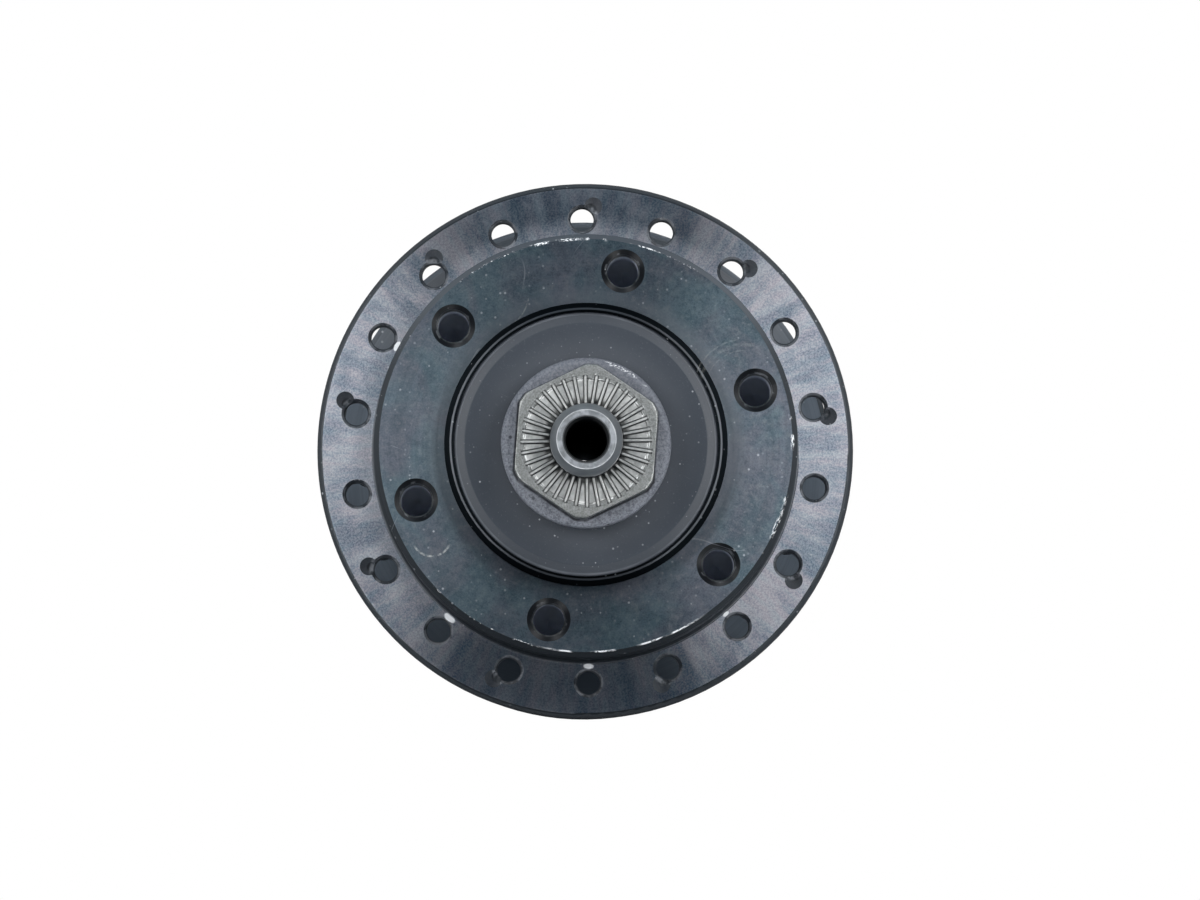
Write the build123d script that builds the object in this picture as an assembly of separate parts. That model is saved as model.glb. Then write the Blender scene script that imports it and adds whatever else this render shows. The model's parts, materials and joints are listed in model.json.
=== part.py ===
from build123d import *
import math
import os

# Bicycle front hub for a six-bolt disc rotor, 36 spokes and a quick-release skewer, with cup-and-cone bearings.
# Millimetres. The hub's axis is Y, the disc side (left, as on the bicycle) faces -Y, Z is up, and the origin
# is halfway between the two locknut faces. Angles are taken as the disc side shows them: 0 at +X, growing
# towards +Z. Distances along the axle are from the origin, unless a comment says otherwise.

LEFT, RIGHT = -1, 1

# Axle
AXLE_LENGTH = 108.0
AXLE_REACH = 4.0             # out of each locknut, which leaves 100 between the fork's drop-outs
AXLE_DIAMETER = 8.9          # over the thread, as drawn on the free ends
THREAD_DEPTH = 0.25          # down to the pitch diameter, as drawn under the cones and locknuts
AXLE_BORE = 5.4              # for the skewer
AXLE_CHAMFER = 0.8

# Locknut
NUT_FLATS = 17.0
NUT_CORNERS = 18.9
NUT_THICKNESS = 4.0
NUT_TURN = 25.6              # angle of the first corner
NUT_BEVEL = 0.35             # on the corners
NUT_MOUTH = 0.3              # countersink of the bore
RIDGES = 36
RIDGE_CREST = 0.31           # width
RIDGE_WALL = 0.16            # width of each side of a ridge, as seen from the end
RIDGE_HEIGHT = 0.36          # over the flat floors of the valleys
RIDGE_REACH = 7.75           # radius at which the valleys end
RIDGE_RAMP = 0.4             # how far the valleys rise before they end

# Spacer, boot and lock washer
SPACER_DIAMETER = 15.2
SPACER_PLAY = 0.05           # between the thread and the rings that slide over it
WASHER_THICKNESS = 1.2
BOOT_WALL = 2.9
BOOT_BEVEL = 0.5
BOOT_ROUNDING = 0.2
BOOT_GAP = 0.2               # between the still boot and the turning cap

# Bearings, 3/16 in balls
BALL_DIAMETER = 4.7625
BALL_COUNT = 10
BALL_GAP = 0.305             # between neighbours, when they are spread evenly
BALL_INSET = 9.9             # ball plane, in from the end of the shell
CONTACT_ANGLE = 45.0
RACE_PLAY = 0.02
RACE_SIZE = 1.05             # radius of the groove, in ball radii
CUP_WALL = 1.87
CUP_LIP = 0.2                # lip of the cup, outside the ball circle
CUP_BEHIND = 4.0             # back of the cup, in from the ball plane
CUP_BEFORE = 3.8             # front of the cup, out from the ball plane
CONE_SHOULDER = 0.6          # outside of the cone, inside the ball circle
CONE_LENGTH = 10.4
CONE_BEHIND = 2.0            # nose of the cone, in from the ball plane
NOSE_PLAY = 0.07             # between the nose and the balls
NOSE_ROUNDING = 0.3
FLATS_CUT = 1.1              # wrench flats, in from the outside of the cone
FLATS_LENGTH = 2.6

# Dust cap and seal
CAP_DEPTH = 4.5
CAP_RECESS = 0.2             # face of the cap, in from the end of the shell
CAP_WALL = 1.6
CAP_RIM = 1.4                # width of the bevelled rim
CAP_BEVEL = 0.25             # height of that bevel
CAP_ROUNDING = 0.12
CAP_PLAY = 0.8               # between the cap's hole and what goes through it
SEAL_WIDTH = 3.84            # from the lip to the outside
SEAL_PLAY = 0.06             # between the lip and the cone
SEAL_RECESS = 0.3            # from the back of the cap
SEAL_SKIRT = 1.6
LIP_WIDTH = 0.5
LIP_SLOPE = 0.8

# Hub shell, left end
ROTOR_INSET = 10.5           # disc face, in from the face of the locknut
REGISTER_DIAMETER = 34.9
REGISTER_HEIGHT = 3.0
REGISTER_CHAMFER = 0.7
REGISTER_WALL = 1.15
ROTOR_CIRCLE = 44.0
ROTOR_HOLES = 6
ROTOR_HOLE = 4.2             # tapping size of M5
ROTOR_HOLE_BEVEL = 0.6
ROTOR_HOLE_DEPTH = 10.0
DRILL_POINT = 118.0          # angle of the holes' ends
ROTOR_TURN = 18.0            # angle of the first rotor hole
BOSS_EDGE = 4.15             # from the rotor circle to the outside of the boss
BOSS_CHAMFER = 0.65
BOSS_FILLET = 0.6

# Hub shell, flanges
LEFT_FLANGE_INSET = 15.5     # middle of the flange, in from the disc face
RIGHT_FLANGE_INSET = 14.5    # in from the end of the shell
FLANGE_THICKNESS = 3.0
FLANGE_ROUNDING = 0.75
HEAD_ROOM = 2.85             # from the boss to the left spoke circle
RIGHT_SPOKE_CIRCLE = 56.3
SPOKE_RIM = 4.5              # from a spoke circle to the edge of its flange
SPOKES = 18                  # in each flange
SPOKE_HOLE = 2.9
SPOKE_HOLE_BEVEL = 0.4
SPOKE_TURN = 10.8            # angle of the first hole of the left flange

# Marks that spoke elbows left beside every other hole: a shallow print, and a deeper bite between it and the hole
PRINT_RADIUS = 2.4
PRINT_DEPTH = 0.28
PRINT_OUT = 1.65             # from the spoke circle
PRINT_TURN = -2.65           # from the angle of the hole
BITE_RADIUS = 0.8
BITE_DEPTH = 0.6
BITE_OUT = 1.35
BITE_TURN = -2.1

# Hub shell, barrel and right end
SEAT_SHOULDER = 1.5          # what the back of a cup rests on
BARREL_WALL = 4.3            # at the waist
BARREL_LEFT_DIAMETER = 41.0
BARREL_RIGHT_DIAMETER = 36.0
BARREL_LEFT_LENGTH = 5.0     # straight part beside the left flange
BARREL_RIGHT_LENGTH = 6.0
TAPER_SHARE = 0.25           # of the barrel, taken by the taper on each side of the waist
WAIST_BEND = 12.0
BARREL_BEND = 4.0
BARREL_FILLET = 2.5
END_WALL = 2.5
END_FILLET = 1.5
END_CHAMFER = 0.6

TOOL_RISE = 0.1              # how far a cutting tool stands out of the face that it cuts

# Radii that follow from these sizes
AXLE_R = AXLE_DIAMETER / 2
THREAD_R = AXLE_R - THREAD_DEPTH
SPACER_R = SPACER_DIAMETER / 2
BALL_R = BALL_DIAMETER / 2
BALL_CIRCLE_R = (BALL_DIAMETER + BALL_GAP) / 2 / math.sin(math.pi / BALL_COUNT)
RACE_R = BALL_R * RACE_SIZE
RACE_SHIFT = RACE_R - BALL_R - RACE_PLAY
CONE_R = BALL_CIRCLE_R - CONE_SHOULDER
CUP_MOUTH_R = BALL_CIRCLE_R - RACE_SHIFT * math.cos(math.radians(CONTACT_ANGLE)) + RACE_R
CUP_R = CUP_MOUTH_R + CUP_WALL
REGISTER_R = REGISTER_DIAMETER / 2
CAP_R = REGISTER_R - REGISTER_WALL
ROTOR_R = ROTOR_CIRCLE / 2
BOSS_R = ROTOR_R + BOSS_EDGE
LEFT_SPOKES_R = BOSS_R + HEAD_ROOM
RIGHT_SPOKES_R = RIGHT_SPOKE_CIRCLE / 2

# Distances along the axle that follow, the same on both sides
AXLE_END = AXLE_LENGTH / 2
NUT_FACE = AXLE_END - AXLE_REACH
NUT_BACK = NUT_FACE - NUT_THICKNESS
DISC_FACE = NUT_FACE - ROTOR_INSET
SHELL_END = DISC_FACE + REGISTER_HEIGHT
LEFT_FLANGE = DISC_FACE - LEFT_FLANGE_INSET
RIGHT_FLANGE = SHELL_END - RIGHT_FLANGE_INSET
BALL_PLANE = SHELL_END - BALL_INSET
CAP_FACE = SHELL_END - CAP_RECESS
CAP_INSIDE = CAP_FACE - CAP_WALL
CAP_SEAT = SHELL_END - CAP_DEPTH
CUP_BACK = BALL_PLANE - CUP_BEHIND
CUP_FRONT = BALL_PLANE + CUP_BEFORE
CONE_NOSE = BALL_PLANE - CONE_BEHIND
CONE_END = CONE_NOSE + CONE_LENGTH
WASHER_END = CONE_END + WASHER_THICKNESS


def turned(side, *corners):
    """A ring turned about the axle. Corners are (distance along it, radius, rounding), in order."""
    points = [Vector(radius, side * along) for along, radius, *_ in corners]
    roundings = [corner[2] if len(corner) > 2 else 0 for corner in corners]
    edges, starts, ends = [], [], []
    for i, (point, rounding) in enumerate(zip(points, roundings)):
        back = (points[i - 1] - point).normalized()
        ahead = (points[(i + 1) % len(points)] - point).normalized()
        if rounding:
            half = math.radians(back.get_angle(ahead)) / 2
            starts.append(point + back * (rounding / math.tan(half)))
            ends.append(point + ahead * (rounding / math.tan(half)))
            middle = point + (back + ahead).normalized() * (rounding / math.sin(half) - rounding)
            edges.append(Edge.make_three_point_arc(starts[-1], middle, ends[-1]))
        else:
            starts.append(point)
            ends.append(point)
    for i in range(len(points)):
        edges.append(Edge.make_line(ends[i - 1], starts[i]))
    return revolve(Face(Wire(edges)), Axis.Y)


def around(y, radius, count, first, tool):
    """Copies of a tool evenly round the axle, in the plane at y, with the tool's z towards -Y."""
    plane = Plane(origin=(0, y, 0), x_dir=(1, 0, 0), z_dir=(0, -1, 0))
    return [plane * place * tool for place in PolarLocations(radius, count, start_angle=first)]


def bevel(radius, depth):
    """Tool for the bevelled mouth of a hole in the plane z = 0, opening towards +z."""
    return Cone(radius, radius + 2 * depth, 2 * depth)


def race(side, towards):
    """Tool for the groove that the balls run in: towards is 1 for the cup and -1 for the cone."""
    angle = math.radians(CONTACT_ANGLE)
    radius = BALL_CIRCLE_R - towards * math.cos(angle) * RACE_SHIFT
    along = BALL_PLANE + towards * math.sin(angle) * RACE_SHIFT
    return revolve(Pos(radius, side * along) * Circle(RACE_R), Axis.Y)


def between(near, far):
    """The solid between two polygons with as many corners."""
    faces = [near, far]
    for i in range(len(near)):
        faces += [(near[i - 1], near[i], far[i]), (near[i - 1], far[i], far[i - 1])]
    return Solid(Shell([Face(Wire.make_polygon(face)) for face in faces]))


def make_axle():
    """Hollow axle with chamfered ends, plain where the real one is threaded."""
    bore, face, wall_end = AXLE_BORE / 2, AXLE_R - AXLE_CHAMFER, AXLE_END - AXLE_CHAMFER
    return turned(RIGHT, (-AXLE_END, bore), (-AXLE_END, face), (-wall_end, AXLE_R), (-NUT_FACE, AXLE_R),
                  (-NUT_FACE, THREAD_R), (NUT_FACE, THREAD_R), (NUT_FACE, AXLE_R), (wall_end, AXLE_R),
                  (AXLE_END, face), (AXLE_END, bore))


def valley():
    """Tool for one flat valley between two ridges of a locknut, in the plane z = 0, running along x."""
    def section(radius, ramp):
        mouth = radius * math.sin(math.pi / RIDGES) - RIDGE_CREST / 2
        floor = mouth - RIDGE_WALL
        flare, rise = mouth + RIDGE_WALL * TOOL_RISE / RIDGE_HEIGHT, ramp * TOOL_RISE / RIDGE_HEIGHT
        return ((radius + rise, -flare, TOOL_RISE), (radius + rise, flare, TOOL_RISE),
                (radius - ramp, floor, -RIDGE_HEIGHT), (radius - ramp, -floor, -RIDGE_HEIGHT))

    return between(section(THREAD_R, 0), section(RIDGE_REACH, RIDGE_RAMP))


def make_locknut(side):
    """Hexagon nut with a serrated outer face."""
    hexagon = RegularPolygon(NUT_FLATS / 2, 6, major_radius=False, rotation=NUT_TURN)
    blank, = around(side * (NUT_BACK + NUT_FACE) / 2, 0, 1, 0, extrude(hexagon, NUT_THICKNESS / 2, both=True))
    corner = NUT_CORNERS / 2
    blank &= turned(side, (NUT_BACK, THREAD_R), (NUT_BACK, corner - NUT_BEVEL), (NUT_BACK + NUT_BEVEL, corner),
                    (NUT_FACE - NUT_BEVEL, corner), (NUT_FACE, corner - NUT_BEVEL),
                    (NUT_FACE, THREAD_R + NUT_MOUTH), (NUT_FACE - NUT_MOUTH, THREAD_R))
    tool = valley() if side == LEFT else Rot(180, 0, 0) * valley()
    return blank - around(side * NUT_FACE, 0, RIDGES, 180 / RIDGES, tool)


def make_spacer(side):
    """Plain ring between the lock washer and the locknut."""
    bore = AXLE_R + SPACER_PLAY
    return turned(side, (WASHER_END, bore), (WASHER_END, SPACER_R), (NUT_BACK, SPACER_R), (NUT_BACK, bore))


def make_boot(side):
    """Rubber ring round the spacer, in front of the dust cap, with its outer edge bevelled."""
    back, outside = CAP_FACE + BOOT_GAP, SPACER_R + BOOT_WALL
    return turned(side, (back, SPACER_R), (back, outside, BOOT_ROUNDING),
                  (NUT_BACK - BOOT_BEVEL, outside, BOOT_ROUNDING),
                  (NUT_BACK, outside - BOOT_BEVEL, BOOT_ROUNDING), (NUT_BACK, SPACER_R))


def make_lock_washer(side):
    """Plain washer between the cone and the spacer, as wide as the cone."""
    bore = AXLE_R + SPACER_PLAY
    return turned(side, (CONE_END, bore), (CONE_END, CONE_R), (WASHER_END, CONE_R), (WASHER_END, bore))


def make_cone(side):
    """Bearing cone with its race and two wrench flats."""
    nose = BALL_CIRCLE_R - BALL_R - NOSE_PLAY
    cone = turned(side, (CONE_NOSE, THREAD_R), (CONE_NOSE, nose, NOSE_ROUNDING), (BALL_PLANE, nose),
                  (BALL_PLANE, CONE_R), (CONE_END, CONE_R), (CONE_END, THREAD_R))
    cone -= race(side, -1)
    kept = Box(2 * (CONE_R - FLATS_CUT), FLATS_LENGTH, 2 * CONE_R)
    beside = Box(3 * CONE_R, FLATS_LENGTH, 3 * CONE_R) - kept
    return cone - Pos(0, side * (CONE_END - FLATS_LENGTH / 2)) * beside


def make_cup(side):
    """Hardened cup pressed into the hub shell, with the outer race."""
    lip = BALL_CIRCLE_R + CUP_LIP
    cup = turned(side, (CUP_BACK, lip), (CUP_BACK, CUP_R), (CUP_FRONT, CUP_R), (CUP_FRONT, CUP_MOUTH_R),
                 (BALL_PLANE, CUP_MOUTH_R), (BALL_PLANE, lip))
    return cup - race(side, 1)


def make_balls(side):
    """The loose balls of one bearing."""
    return Compound(around(side * BALL_PLANE, BALL_CIRCLE_R, BALL_COUNT, 0, Sphere(BALL_R)))


def make_dust_cap(side):
    """Cap pressed into the end of the shell, with a bevelled rim, a middle hole and a pocket for the seal."""
    bore, pocket = max(CONE_R, SPACER_R) + CAP_PLAY, CONE_R + SEAL_PLAY + SEAL_WIDTH
    return turned(side, (CAP_SEAT, pocket), (CAP_SEAT, CAP_R), (CAP_FACE - CAP_BEVEL, CAP_R, CAP_ROUNDING),
                  (CAP_FACE, CAP_R - CAP_RIM), (CAP_FACE, bore), (CAP_INSIDE, bore), (CAP_INSIDE, pocket))


def make_seal(side):
    """Lip seal in the pocket of the dust cap, running just off the cone."""
    lip, back = CONE_R + SEAL_PLAY, CAP_SEAT + SEAL_RECESS
    outside = lip + SEAL_WIDTH
    return turned(side, (back, outside - SEAL_SKIRT), (back, outside), (CAP_INSIDE, outside), (CAP_INSIDE, lip),
                  (CAP_INSIDE - LIP_WIDTH, lip), (CAP_INSIDE - 2 * LIP_WIDTH, lip + LIP_SLOPE))


def shell_blank():
    """The shell as turned: register and disc boss at the left, flanges, barrel, end boss and bearing seats."""
    half, soft = FLANGE_THICKNESS / 2, FLANGE_ROUNDING
    left_out, left_in = -LEFT_FLANGE - half, -LEFT_FLANGE + half
    right_in, right_out = RIGHT_FLANGE - half, RIGHT_FLANGE + half
    left_edge, right_edge = LEFT_SPOKES_R + SPOKE_RIM, RIGHT_SPOKES_R + SPOKE_RIM
    barrel_left, barrel_right = BARREL_LEFT_DIAMETER / 2, BARREL_RIGHT_DIAMETER / 2
    bore, end = CUP_R - SEAT_SHOULDER, CAP_R + END_WALL
    waist, taper = bore + BARREL_WALL, TAPER_SHARE * (right_in - left_in)
    taper_left, taper_right = left_in + BARREL_LEFT_LENGTH, right_in - BARREL_RIGHT_LENGTH
    return turned(
        RIGHT,
        (-SHELL_END, CAP_R), (-SHELL_END, REGISTER_R - REGISTER_CHAMFER),
        (-SHELL_END + REGISTER_CHAMFER, REGISTER_R), (-DISC_FACE, REGISTER_R),
        (-DISC_FACE, BOSS_R - BOSS_CHAMFER), (-DISC_FACE + BOSS_CHAMFER, BOSS_R),
        (left_out, BOSS_R, BOSS_FILLET), (left_out, left_edge, soft), (left_in, left_edge, soft),
        (left_in, barrel_left, BARREL_FILLET),
        (taper_left, barrel_left, BARREL_BEND), (taper_left + taper, waist, WAIST_BEND),
        (taper_right - taper, waist, WAIST_BEND), (taper_right, barrel_right, BARREL_BEND),
        (right_in, barrel_right, BARREL_FILLET),
        (right_in, right_edge, soft), (right_out, right_edge, soft), (right_out, end, END_FILLET),
        (SHELL_END - END_CHAMFER, end), (SHELL_END, end - END_CHAMFER), (SHELL_END, CAP_R),
        (CAP_SEAT, CAP_R), (CAP_SEAT, CUP_R), (CUP_BACK, CUP_R), (CUP_BACK, bore),
        (-CUP_BACK, bore), (-CUP_BACK, CUP_R), (-CAP_SEAT, CUP_R), (-CAP_SEAT, CAP_R))


def make_hub_shell():
    """Shell in one piece, with its spoke holes, the marks beside them and the rotor holes."""
    half, hole = FLANGE_THICKNESS / 2, SPOKE_HOLE / 2
    mouth = bevel(hole, SPOKE_HOLE_BEVEL)
    spoke = Cylinder(hole, FLANGE_THICKNESS + 2 * TOOL_RISE)
    spoke += [Pos(0, 0, half) * mouth, Pos(0, 0, -half) * Rot(180, 0, 0) * mouth]
    marks = ((Sphere(PRINT_RADIUS), half + PRINT_RADIUS - PRINT_DEPTH, PRINT_OUT, PRINT_TURN),
             (Sphere(BITE_RADIUS), half + BITE_RADIUS - BITE_DEPTH, BITE_OUT, BITE_TURN))
    shell = shell_blank()
    for side, flange, radius, first in ((LEFT, LEFT_FLANGE, LEFT_SPOKES_R, SPOKE_TURN),
                                        (RIGHT, RIGHT_FLANGE, RIGHT_SPOKES_R, SPOKE_TURN + 180 / SPOKES)):
        shell -= around(side * flange, radius, SPOKES, first, spoke)
        for ball, lift, out, turn in marks:
            shell -= around(side * (flange + lift), radius + out, SPOKES // 2, first + turn, ball)
    hole = ROTOR_HOLE / 2
    tip = hole / math.tan(math.radians(DRILL_POINT / 2))
    drill = Pos(0, 0, (TOOL_RISE - ROTOR_HOLE_DEPTH) / 2) * Cylinder(hole, ROTOR_HOLE_DEPTH + TOOL_RISE)
    drill += [Pos(0, 0, -ROTOR_HOLE_DEPTH - tip / 2) * Cone(0, hole, tip), bevel(hole, ROTOR_HOLE_BEVEL)]
    return shell - around(-DISC_FACE, ROTOR_R, ROTOR_HOLES, ROTOR_TURN, drill)


parts = {"axle": make_axle(), "hub_shell": make_hub_shell()}
for side, word in ((LEFT, "left"), (RIGHT, "right")):
    parts[f"locknut_{word}"] = make_locknut(side)
    parts[f"spacer_{word}"] = make_spacer(side)
    parts[f"boot_{word}"] = make_boot(side)
    parts[f"lock_washer_{word}"] = make_lock_washer(side)
    parts[f"cone_{word}"] = make_cone(side)
    parts[f"cup_{word}"] = make_cup(side)
    parts[f"balls_{word}"] = make_balls(side)
    parts[f"dust_cap_{word}"] = make_dust_cap(side)
    parts[f"seal_{word}"] = make_seal(side)

os.makedirs("parts", exist_ok=True)
for name, shape in parts.items():
    export_step(shape, f"parts/{name}.step")
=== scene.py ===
"""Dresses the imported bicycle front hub: threads, serrated locknuts, rubber rings, finishes, light and camera.

Every length is in metres, in the frame of the CAD model: the axle is Y, the disc side faces -Y and Z is up.
Angles round the axle are taken as the disc side shows them, 0 at +X and growing towards +Z.
"""

import json
import math

import bpy
import numpy as np
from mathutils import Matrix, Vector


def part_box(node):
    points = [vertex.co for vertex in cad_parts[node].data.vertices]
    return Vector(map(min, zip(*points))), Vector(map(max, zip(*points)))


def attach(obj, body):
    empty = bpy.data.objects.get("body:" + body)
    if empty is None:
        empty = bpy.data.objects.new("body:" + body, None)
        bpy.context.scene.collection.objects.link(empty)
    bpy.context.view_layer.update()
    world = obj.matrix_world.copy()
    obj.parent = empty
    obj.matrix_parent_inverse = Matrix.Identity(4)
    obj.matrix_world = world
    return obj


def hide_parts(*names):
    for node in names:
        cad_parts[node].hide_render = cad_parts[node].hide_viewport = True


bl_info = {
    "name": "Bicycle front hub looks",
    "version": (1, 0, 0),
    "blender": (4, 5, 0),
    "location": "View3D > Sidebar > Hub",
    "description": "Dresses a packed bicycle front hub: threads, rubber rings, finishes, light and camera",
    "category": "Object",
}

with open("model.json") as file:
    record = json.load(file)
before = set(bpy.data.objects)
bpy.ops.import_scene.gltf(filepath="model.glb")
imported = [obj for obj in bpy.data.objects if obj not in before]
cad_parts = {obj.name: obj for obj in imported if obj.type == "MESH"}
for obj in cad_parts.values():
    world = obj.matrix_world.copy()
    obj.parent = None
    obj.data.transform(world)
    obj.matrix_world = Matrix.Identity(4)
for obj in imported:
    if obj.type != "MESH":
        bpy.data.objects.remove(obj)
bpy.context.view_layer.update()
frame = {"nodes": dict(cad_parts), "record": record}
mounts = {mount["name"]: mount for mount in frame["record"]["mounts"]}

MM = 0.001
LEFT, RIGHT = -1, 1
SIDES = ((LEFT, "left"), (RIGHT, "right"))
TURN = 2 * math.pi


def low_high(node, axis):
    """Lowest and highest value of a CAD node along one axis."""
    low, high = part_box(node)
    return low[axis], high[axis]


# Places on the hub that finishes and new pieces need, read from the CAD model
AXLE_END = low_high("axle", 1)[1]
NUT_BACK, NUT_FACE = low_high("locknut_right", 1)
SPACER_R = low_high("spacer_left", 0)[1]
BOOT_BACK = low_high("boot_right", 1)[0]
BOOT_R = low_high("boot_left", 0)[1]
CAP_R = low_high("dust_cap_left", 0)[1]
SEAL_BACK, SEAL_FRONT = low_high("seal_right", 1)
SEAL_R = low_high("seal_left", 0)[1]
SHELL_END = low_high("hub_shell", 1)[1]
FLANGE_R = low_high("hub_shell", 0)[1]
BORE_R = mounts["skewer_bore"]["dims"]["r_mm"] * MM
AXLE_R = mounts["axle_left"]["dims"]["r_mm"] * MM
REGISTER_R = mounts["rotor_register"]["dims"]["r_mm"] * MM
DISC_FACE = -mounts["disc_face"]["pos_m"][1]
ROTOR_R = mounts["disc_mount"]["dims"]["pcd_mm"] / 2 * MM
ROTOR_HOLE_R = mounts["disc_mount"]["dims"]["hole_r_mm"] * MM
THREAD_START = -mounts["disc_mount"]["pos_m"][1]
SPOKES_R = mounts["spoke_holes_left"]["dims"]["pcd_mm"] / 2 * MM
RIGHT_SPOKES_R = mounts["spoke_holes_right"]["dims"]["pcd_mm"] / 2 * MM
SPOKE_HOLE_R = mounts["spoke_holes_left"]["dims"]["hole_r_mm"] * MM
LEFT_FLANGE = mounts["spoke_holes_left"]["pos_m"][1]
RIGHT_FLANGE = mounts["spoke_holes_right"]["pos_m"][1]
SPOKES = mounts["spoke_holes_left"]["dims"]["count"]

# Sizes and turns that the record doesn't state, as in the CAD source
FLANGE_HALF = 1.5 * MM
BOSS_R = 26.15 * MM
BARREL_R = 21.5 * MM
BARREL_START = LEFT_FLANGE + 3.0 * MM
BARREL_END = RIGHT_FLANGE - 3.0 * MM
ROTOR_TURN = math.radians(18.0)
SPOKE_TURN = math.radians(10.8)
CORNER_TURN = math.radians(25.6)
NUT_FLATS = 17.0 * MM
NUT_CORNERS = 18.9 * MM
RIDGES = 36
RIDGE_TURN = math.radians(0.8)

# Grids: rows to a turn of thread, and points round a piece
ROTOR_ROWS, ROTOR_POINTS = 7, 32
AXLE_ROWS, AXLE_POINTS = 8, 56
RUBBER_POINTS = 120

# Locknut radii: where the grease and painted shade round the axle thin and end, where the rows of the face get
# denser and end, whose columns the outline has, and where its edges start to be rounder
GRIME_SHADE_FROM, GRIME_SHADE_TO = 4.95 * MM, 5.65 * MM
DENSE_FROM, FACE_TO = 7.2 * MM, 8.26 * MM
OUTLINE_R = 8.5 * MM
BEND_FROM = 9.0 * MM


def length(name, description, millimetres, low=0.0):
    """A size that the panel shows in scene units."""
    return bpy.props.FloatProperty(name=name, description=description, default=millimetres * MM, min=low * MM,
                                   precision=5, unit="LENGTH", subtype="DISTANCE")


def colour(name, description, red, green, blue):
    """A linear colour."""
    return bpy.props.FloatVectorProperty(name=name, description=description, default=(red, green, blue),
                                         size=3, min=0, max=1, subtype="COLOR")


class HubSizes(bpy.types.PropertyGroup):
    """Sizes of the pieces that are made here, over what the CAD model gives."""

    thread_pitch: length("Axle thread pitch", "Distance between the turns of the axle's thread", 1.0, 0.3)
    thread_depth: length("Axle thread depth", "From the crest of the axle's thread to its root", 0.52)
    thread_length: length("Threaded length", "Thread on each end of the axle, from the end", 34.0, 5.0)
    axle_chamfer: length("Axle chamfer", "Chamfer of the axle's ends", 0.8)
    nut_flats: length("Nut across flats", "Width of the locknut between two flats", 17.0, 12.0)
    nut_corners: length("Nut across corners", "Width of the locknut over its turned corners", 18.9, 12.0)
    ridge_crest: length("Ridge crest", "Width of a ridge's crest on the locknut", 0.27)
    ridge_wall: length("Ridge side", "Width of a ridge's side, as seen from the end", 0.17)
    ridge_height: length("Ridge height", "From the floor of a valley to the crest beside it", 0.36)
    ridge_reach: length("Valley reach", "Radius at which the valleys between the ridges end", 7.68)
    ridge_tip: length("Ridge tip", "Radius at which the ridges end", 8.12)
    face_drop: length("Face drop", "From the crest of a ridge to the outer face beyond it", 0.12)
    boot_bevel: length("Boot bevel", "Bevel at the outer edge of the rubber boot", 0.5)
    rotor_pitch: length("Rotor thread pitch", "Distance between the turns in the rotor holes", 0.8, 0.3)
    rotor_thread: length("Rotor thread height", "How far the turns stand out of a rotor hole's wall", 0.16)
    rotor_thread_length: length("Rotor thread length", "Depth of thread in a rotor hole", 9.0, 1.0)


class HubColours(bpy.types.PropertyGroup):
    """Colours of the finishes, linear."""

    anodised: colour("Anodised", "Black anodised aluminium on the turned faces", 0.150, 0.186, 0.232)
    # Edges: painted shade on bevels, steps and in the bites of the spokes' elbow marks
    edges: colour("Edges", "The same on bevels and steps, which nothing rubs", 0.028, 0.033, 0.039)
    bare: colour("Bare aluminium", "Chips and scuffs through the black", 0.92, 0.93, 0.95)
    cap: colour("Cap", "Moulded plastic of the dust cap", 0.042, 0.049, 0.061)
    cap_rim: colour("Cap rim", "The same, rubbed smooth on the rim", 0.038, 0.044, 0.054)
    rubber: colour("Boot", "Bloomed rubber of the boot", 0.182, 0.193, 0.221)
    # Boot pits: pits, flakes and grime, and the painted shadow beside the locknut
    rubber_pits_and_shadow: colour("Boot pits", "Pits and grime in the boot", 0.018, 0.019, 0.024)
    plating: colour("Nut plating", "Dull plating of the locknuts", 0.252, 0.258, 0.252)
    # Nut plating, rubbed: worn bright on the ridges' crests, and a painted highlight on the valley floors
    plating_bright: colour("Nut plating, rubbed", "The same where a fork has rubbed it", 0.520, 0.525, 0.515)
    # Grime: old grease and dirt, also used as painted shade on the sides of the locknut's ridges
    grime_and_shade: colour("Grime", "Old grease and dirt in corners", 0.020, 0.021, 0.022)
    axle_steel: colour("Axle steel", "Dark steel of the axle", 0.400, 0.405, 0.410)
    dust: colour("Dust", "Specks of dust", 0.55, 0.57, 0.60)


class StageSettings(bpy.types.PropertyGroup):
    """Camera, light and floor."""

    lens: bpy.props.FloatProperty(name="Lens", description="Focal length on a 36 mm wide sensor",
                                  default=251.1, min=20, unit="CAMERA")
    camera_place: bpy.props.FloatVectorProperty(name="Camera place", description="Where the camera stands",
                                                size=3, default=(-0.00512, -1.07019, -0.05170),
                                                subtype="TRANSLATION")
    camera_turn: bpy.props.FloatVectorProperty(name="Camera turn", description="Which way the camera looks",
                                               size=3, subtype="EULER",
                                               default=(math.radians(92.8385), 0, math.radians(-0.3815)))
    ambient: bpy.props.FloatProperty(name="Ambient", description="Strength of the light from all round",
                                     default=0.16, min=0)
    floor_reach: length("Floor", "From the middle of the floor to its edge", 4000.0, 500.0)
    floor_colour: colour("Floor colour", "Paper under the hub", 0.86, 0.86, 0.86)


# Chipped arcs of the disc boss's edge: middle and half of the arc in radians, amount, reach and grain of the
# chips
EDGE_WEAR = ((4.90, 0.36, 0.60, 0.00019, 1500.0), (1.755, 0.15, 0.53, 0.00030, 3400.0),
             (1.52, 0.05, 0.54, 0.00028, 3400.0), (1.30, 0.07, 0.55, 0.00016, 2200.0),
             (1.13, 0.12, 0.46, 0.00018, 3000.0), (2.06, 0.16, 0.43, 0.00022, 3200.0),
             (5.93, 0.10, 0.50, 0.00038, 1500.0), (4.20, 0.30, 0.44, 0.00020, 1500.0),
             (0.07, 0.08, 0.52, 0.00035, 1500.0))

# Spoke holes of the left flange whose inner side is bare, counted from the first, and the size of the spot
BARE_HOLES = ((7, 0.85), (11, 1.15), (13, 1.0), (15, 0.65))

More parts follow.
